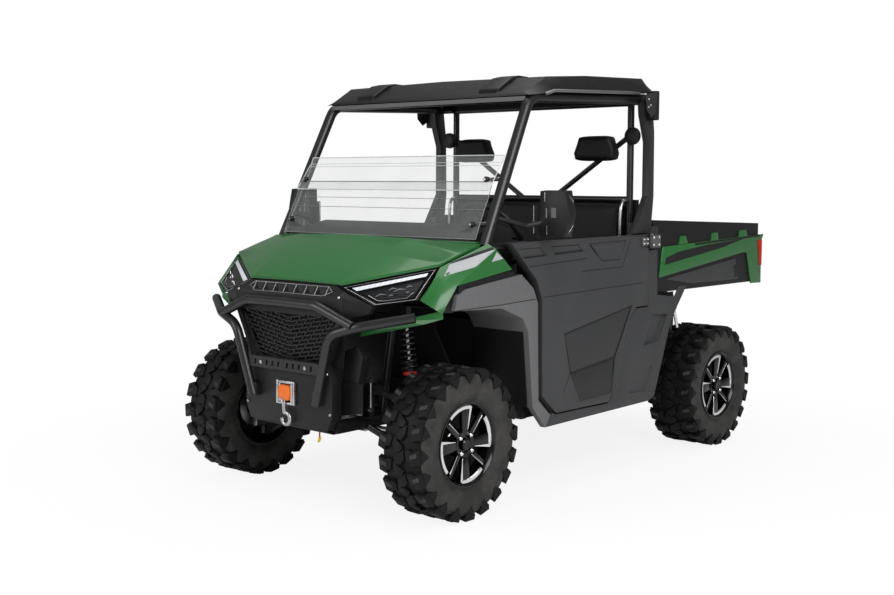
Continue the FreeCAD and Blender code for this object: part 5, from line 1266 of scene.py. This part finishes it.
class VEHICLE_OT_ribs(bpy.types.Operator):
    """Ribs on the bed floor and walls, raised bands, handle and bolts on the tailgate"""
    bl_idname = "vehicle.ribs"
    bl_label = "Bed and tailgate ribs"

    def execute(self, context):
        ribs = []
        for i in range(FLOOR_RIBS):
            x = (i - FLOOR_RIBS // 2) * FLOOR_PITCH
            sides = rectangle(x - 0.022, 0.44, x + 0.022, 1.54)
            ribs.append(panel("Z", FLOOR_Z, sides, 0.01, "bed", 0.004))
        for side in (1, -1):
            for y in WALL_RIBS:
                outline = [(y - 0.03, 0.97), (y + 0.03, 0.97), (y + 0.022, 1.225), (y - 0.022, 1.225)]
                ribs.append(panel("X", side * WALL_X, outline, side * -0.008, "bed", 0.003))
        finish(joined(ribs), "bed_ribs", "bed")

        posts = [(x - 0.02, 1.012, x + 0.02, 1.163) for x in GATE_POSTS]
        pieces = [panel("Y", GATE_Y, rectangle(*sides), 0.009, "bed", 0.003)
                  for sides in [*GATE_BANDS, *posts]]
        pieces.append(panel("Y", GATE_Y, GATE_BEZEL, 0.006, "gloss", 0.002))
        pieces.append(panel("Y", GATE_Y + 0.005, GATE_GRIP, 0.009, "zinc_dull", 0.003, 3))
        corners = [(x, GATE_Y + 0.001, z) for x in (-0.63, 0.63) for z in (0.965, 1.215)]
        pieces += bolts(corners, (0, 1, 0), 0.008)
        finish(joined(pieces), "tailgate_ribs", "tailgate")
        return {"FINISHED"}


# Side fittings, each on the left and mirrored to the right; outlines are (y, z)

CHEEK_LIFT = Vector((0.0028, -0.0014, 0.0024))
CHEEK_HIGH = ((0.6943, -1.2103, 1.139), (0.7146, -1.0713, 1.1755), (0.7375, -0.976, 1.1988))
CHEEK_MIDDLE = ((0.6962, -1.221, 1.1321), (0.719, -1.1, 1.1578), (0.7479, -0.9795, 1.1885))
CHEEK_LOW = ((0.7101, -1.276, 1.0832), (0.7493, -1.1238, 1.1148), (0.7567, -0.9254, 1.1461))
CHEEK_TRIM = ((-1.318, 0.931), (-1.25, 0.926), (-1.2, 1.0), (-1.15, 1.03), (-0.83, 1.072),
              (-0.83, 1.088), (-1.24, 1.044))
SEAM_X = 0.7665
SEAM_WIDTH = 0.0035
SEAM_DEPTH = 0.004
FLARE_LINE = ((-1.262, 0.937), (-0.9547, 0.9408), (-0.6932, 0.9503))
DOOR_LINES = (
    ((-0.8319, 1.186), (-0.6654, 1.187), (-0.6158, 1.1507)), ((-0.8001, 1.1463), (-0.6158, 1.1507)),
    ((-0.5835, 1.1889), (-0.3534, 1.1906)), ((-0.5442, 1.155), (-0.3131, 1.1636)),
    ((0.0571, 1.1975), (-0.2647, 1.1926), (-0.1531, 1.1026), (0.0069, 1.1033)),
    ((-0.7443, 1.1027), (-0.2898, 1.1216)), ((-0.3239, 1.0601), (0.0273, 1.065), (0.1, 1.2)),
    ((-0.6369, 0.9545), (0.2282, 0.9729)),
    ((-0.466, 0.766), (0.122, 0.861), (-0.029, 0.607), (-0.414, 0.567), (-0.466, 0.766)),
    ((-0.414, 0.567), (-0.47, 0.48)), ((-0.029, 0.607), (-0.053, 0.398)),
)
# Door relief plates: the darker paints are painted shade in the lower door's pressed recess and below it
DOOR_PANELS = (
    ("door_low_painted_shade", ((-0.459, 0.761), (0.112, 0.853), (-0.034, 0.613), (-0.408, 0.574))),
    ("door_foot_painted_shade", ((-0.408, 0.561), (-0.035, 0.6), (-0.059, 0.405), (-0.43, 0.405),
                   (-0.463, 0.479))),
    ("door_low_painted_shade", ((-0.584, 0.93), (-0.5, 0.937), (-0.47, 0.77), (-0.422, 0.567),
                  (-0.476, 0.483), (-0.533, 0.56))),
)
BED_BANDS = (
    ((0.7918, 1.1575), (1.552, 1.1835), (1.5526, 1.1731), (0.7923, 1.146)),
    ((0.478, 1.052), (1.1, 1.1225), (1.352, 1.1655), (0.92, 1.144), (0.62, 1.118),
     (0.4865, 1.089)),
)
BED_POCKETS = (
    ((0.6215, 1.156), (0.6424, 1.203), (0.6926, 1.2015), (0.717, 1.159)),
    ((0.9727, 1.165), (0.9857, 1.2098), (1.0446, 1.2106), (1.0561, 1.169)),
    ((1.2949, 1.174), (1.3089, 1.2158), (1.3826, 1.2174), (1.3999, 1.178)),
)
BED_LOWER = ((0.4907, 0.974), (1.2705, 1.0534), (1.3083, 0.9302), (0.7825, 0.935))
BED_SLOT = ((1.2478, 1.0127), (1.2805, 1.0174), (1.2962, 0.945), (1.268, 0.945))
CORNER_LAMP = ((1.531, 1.152), (1.5795, 1.154), (1.5795, 0.998), (1.551, 1.0))
SILL_BACK = ((-0.57, 0.345), (-0.4, 0.345), (-0.4, 0.4), (-0.57, 0.41))
BED_FOOT = ((0.43, 0.8), (0.6, 0.82), (0.66, 0.86), (0.66, 0.895), (0.43, 0.895))
BED_LEG = ((0.636, 0.928), (0.723, 0.928), (0.64, 0.833), (0.613, 0.804), (0.5, 0.66), (0.44, 0.66),
           (0.571, 0.842))
MIRROR_FACE = -0.6895
MIRROR_WINDOW = ((0.8492, 1.3283), (0.8766, 1.3283), (0.8759, 1.3743), (0.8492, 1.3743))
# Bright strips on the mirror shell's ridges and rim: painted highlights
MIRROR_HIGHLIGHTS = ((0.8125, 1.402, 1.444), (0.8225, 1.329, 1.371), (0.8265, 1.25, 1.293))
MIRROR_RIM_HIGHLIGHT = ((0.925, -0.675, 1.443), (0.9363, -0.642, 1.4058), (0.9413, -0.638, 1.347),
              (0.9363, -0.642, 1.29), (0.925, -0.672, 1.25))


def ribbon(upper, lower, lift, paint):
    """A thin strip over a bent surface, one flat field between each pair of points."""
    fields = [plate([upper[i], upper[i + 1], lower[i + 1], lower[i]], lift) for i in range(len(upper) - 1)]
    return painted(joined(fields), paint)


def seam(line):
    """A narrow dark groove along (y, z) points on the vehicle's side; along the door's pressed edges its
    black is painted shade.
    """
    fields = []
    for (y0, z0), (y1, z1) in zip(line, line[1:]):
        reach = Vector((0, y1 - y0, z1 - z0)).normalized() * SEAM_WIDTH / 2
        first, last = Vector((SEAM_X, y0, z0)) - reach, Vector((SEAM_X, y1, z1)) + reach
        fields.append(strip(first, last, SEAM_WIDTH, (1, 0, 0), (SEAM_DEPTH, 0, 0)))
    return painted(joined(fields), "black")


def bed_side():
    """Dark bands, green pockets and the grey lower field of the bed's side."""
    parts = [panel("X", 0.744, band, 0.0018, "black") for band in BED_BANDS]
    parts += [panel("X", 0.7335, pocket, 0.012, "green", 0.003) for pocket in BED_POCKETS]
    parts.append(panel("X", 0.734, BED_LOWER, 0.005, "door", 0.002))
    parts.append(panel("X", 0.7385, BED_SLOT, 0.0012, "gloss"))
    return joined(parts)


def bed_leg():
    """The bed's side support: a bent leg, a bright rod and its boss."""
    rod = tube([(0.726, 0.606, 0.815), (0.716, 0.665, 0.7)], 0.009)
    boss = tube([(0.715, 0.606, 0.815), (0.738, 0.606, 0.815)], 0.016)
    return joined([panel("X", 0.733, BED_LEG, 0.006, "door", 0.002, 1), painted(rod, "bright"),
                   painted(boss, "black")])


def mirror_details():
    """A window on the mirror's shell, painted highlights in bright strips along its ridges and its rim, and
    its arm.
    """
    parts = [panel("Y", MIRROR_FACE, MIRROR_WINDOW, -0.0025, "flare", 0.001, 1)]
    for x, low, high in MIRROR_HIGHLIGHTS:
        highlight_strip = [(x - 0.0022, low), (x + 0.0022, low), (x + 0.0012, high), (x - 0.0032, high)]
        parts.append(panel("Y", MIRROR_FACE, highlight_strip, -0.002, "zinc"))
    parts.append(painted(tube(MIRROR_RIM_HIGHLIGHT, 0.0016), "zinc"))
    parts.append(panel("Y", -0.658, rectangle(0.728, 1.249, 0.758, 1.384), -0.004, "black", 0.001, 1))
    parts.append(painted(tube([(0.729, -0.663, 1.252), (0.729, -0.663, 1.382)], 0.003), "zinc"))
    return joined(parts)


class VEHICLE_OT_sides(bpy.types.Operator):
    """Cheek stripes and trim, seams, door relief with painted shade, bed side, sills, legs and mirror details
    with painted highlights
    """
    bl_idname = "vehicle.sides"
    bl_label = "Side details"

    def execute(self, context):
        stripe = ribbon(CHEEK_MIDDLE, CHEEK_LOW, CHEEK_LIFT, "stripe")
        both(stripe, "cheek_stripe", "root")
        line = ribbon(CHEEK_HIGH, CHEEK_MIDDLE, CHEEK_LIFT * 1.1, "black")
        both(line, "cheek_line", "root")
        trim = panel("X", 0.7425, CHEEK_TRIM, 0.004, "black", 0.0015, 1)
        both(trim, "cheek_trim", "root")
        both(seam(FLARE_LINE), "flare_seam", "root")

        relief = [seam(points) for points in DOOR_LINES]
        relief += [panel("X", 0.765, outline, 0.0035, paint, 0.0016) for paint, outline in DOOR_PANELS]
        both(joined(relief), "door_seams", "door_*")

        both(bed_side(), "bed_side", "bed")
        lamp = panel("X", 0.7455, CORNER_LAMP, 0.003, "red", 0.001)
        both(lamp, "corner_lamp", "bed")
        # Dark plates under the sill and beside the bed: painted shade where gaps would show through
        both(panel("X", 0.698, SILL_BACK, 0.004, "painted_shade_black"), "sill_back", "root")
        both(panel("X", 0.688, BED_FOOT, 0.004, "painted_shade_black"), "bed_foot", "root")
        sill = panel("Z", 0.424, rectangle(0.65, -0.6, 0.721, 0.23), 0.005, "painted_shade_black", 0.0015, 1)
        both(sill, "sill_plate", "root")
        step = panel("Z", 0.374, rectangle(0.69, -0.48, 0.766, 0.3), 0.006, "painted_shade_black", 0.0015, 1)
        both(step, "sill_step", "root")
        both(bed_leg(), "bed_leg", "root")
        both(mirror_details(), "mirror_details", "root")
        return {"FINISHED"}


class VEHICLE_PT_looks(bpy.types.Panel):
    """Lists the pieces that can be made"""
    bl_label = "Vehicle"
    bl_idname = "VEHICLE_PT_looks"
    bl_space_type = "VIEW_3D"
    bl_region_type = "UI"
    bl_category = "Vehicle"

    def draw(self, context):
        layout = self.layout
        scene = context.scene
        for group in (scene.vehicle_colours, scene.vehicle_wheels, scene.vehicle_stage):
            for key in group.__annotations__:
                layout.prop(group, key)
        for operator in OPERATORS:
            layout.operator(operator.bl_idname)


OPERATORS = (VEHICLE_OT_stage, VEHICLE_OT_panels, VEHICLE_OT_wheels, VEHICLE_OT_lamps, VEHICLE_OT_nose,
             VEHICLE_OT_windshield, VEHICLE_OT_suspension, VEHICLE_OT_cab, VEHICLE_OT_fittings,
             VEHICLE_OT_roof, VEHICLE_OT_ribs, VEHICLE_OT_sides)
GROUPS = (("vehicle_colours", VehicleColours), ("vehicle_wheels", WheelSizes),
          ("vehicle_stage", StageSettings))


def register():
    for name, group in GROUPS:
        bpy.utils.register_class(group)
        setattr(bpy.types.Scene, name, PointerProperty(type=group))
    for item in OPERATORS + (VEHICLE_PT_looks,):
        bpy.utils.register_class(item)


def unregister():
    for item in reversed(OPERATORS + (VEHICLE_PT_looks,)):
        bpy.utils.unregister_class(item)
    for name, group in reversed(GROUPS):
        delattr(bpy.types.Scene, name)
        bpy.utils.unregister_class(group)


def main():
    register()
    bpy.ops.vehicle.stage()
    bpy.ops.vehicle.panels()
    bpy.ops.vehicle.wheels()
    bpy.ops.vehicle.lamps()
    bpy.ops.vehicle.nose()
    bpy.ops.vehicle.windshield()
    bpy.ops.vehicle.suspension()
    bpy.ops.vehicle.cab()
    bpy.ops.vehicle.fittings()
    bpy.ops.vehicle.roof()
    bpy.ops.vehicle.ribs()
    bpy.ops.vehicle.sides()


if __name__ == "__main__":
    main()
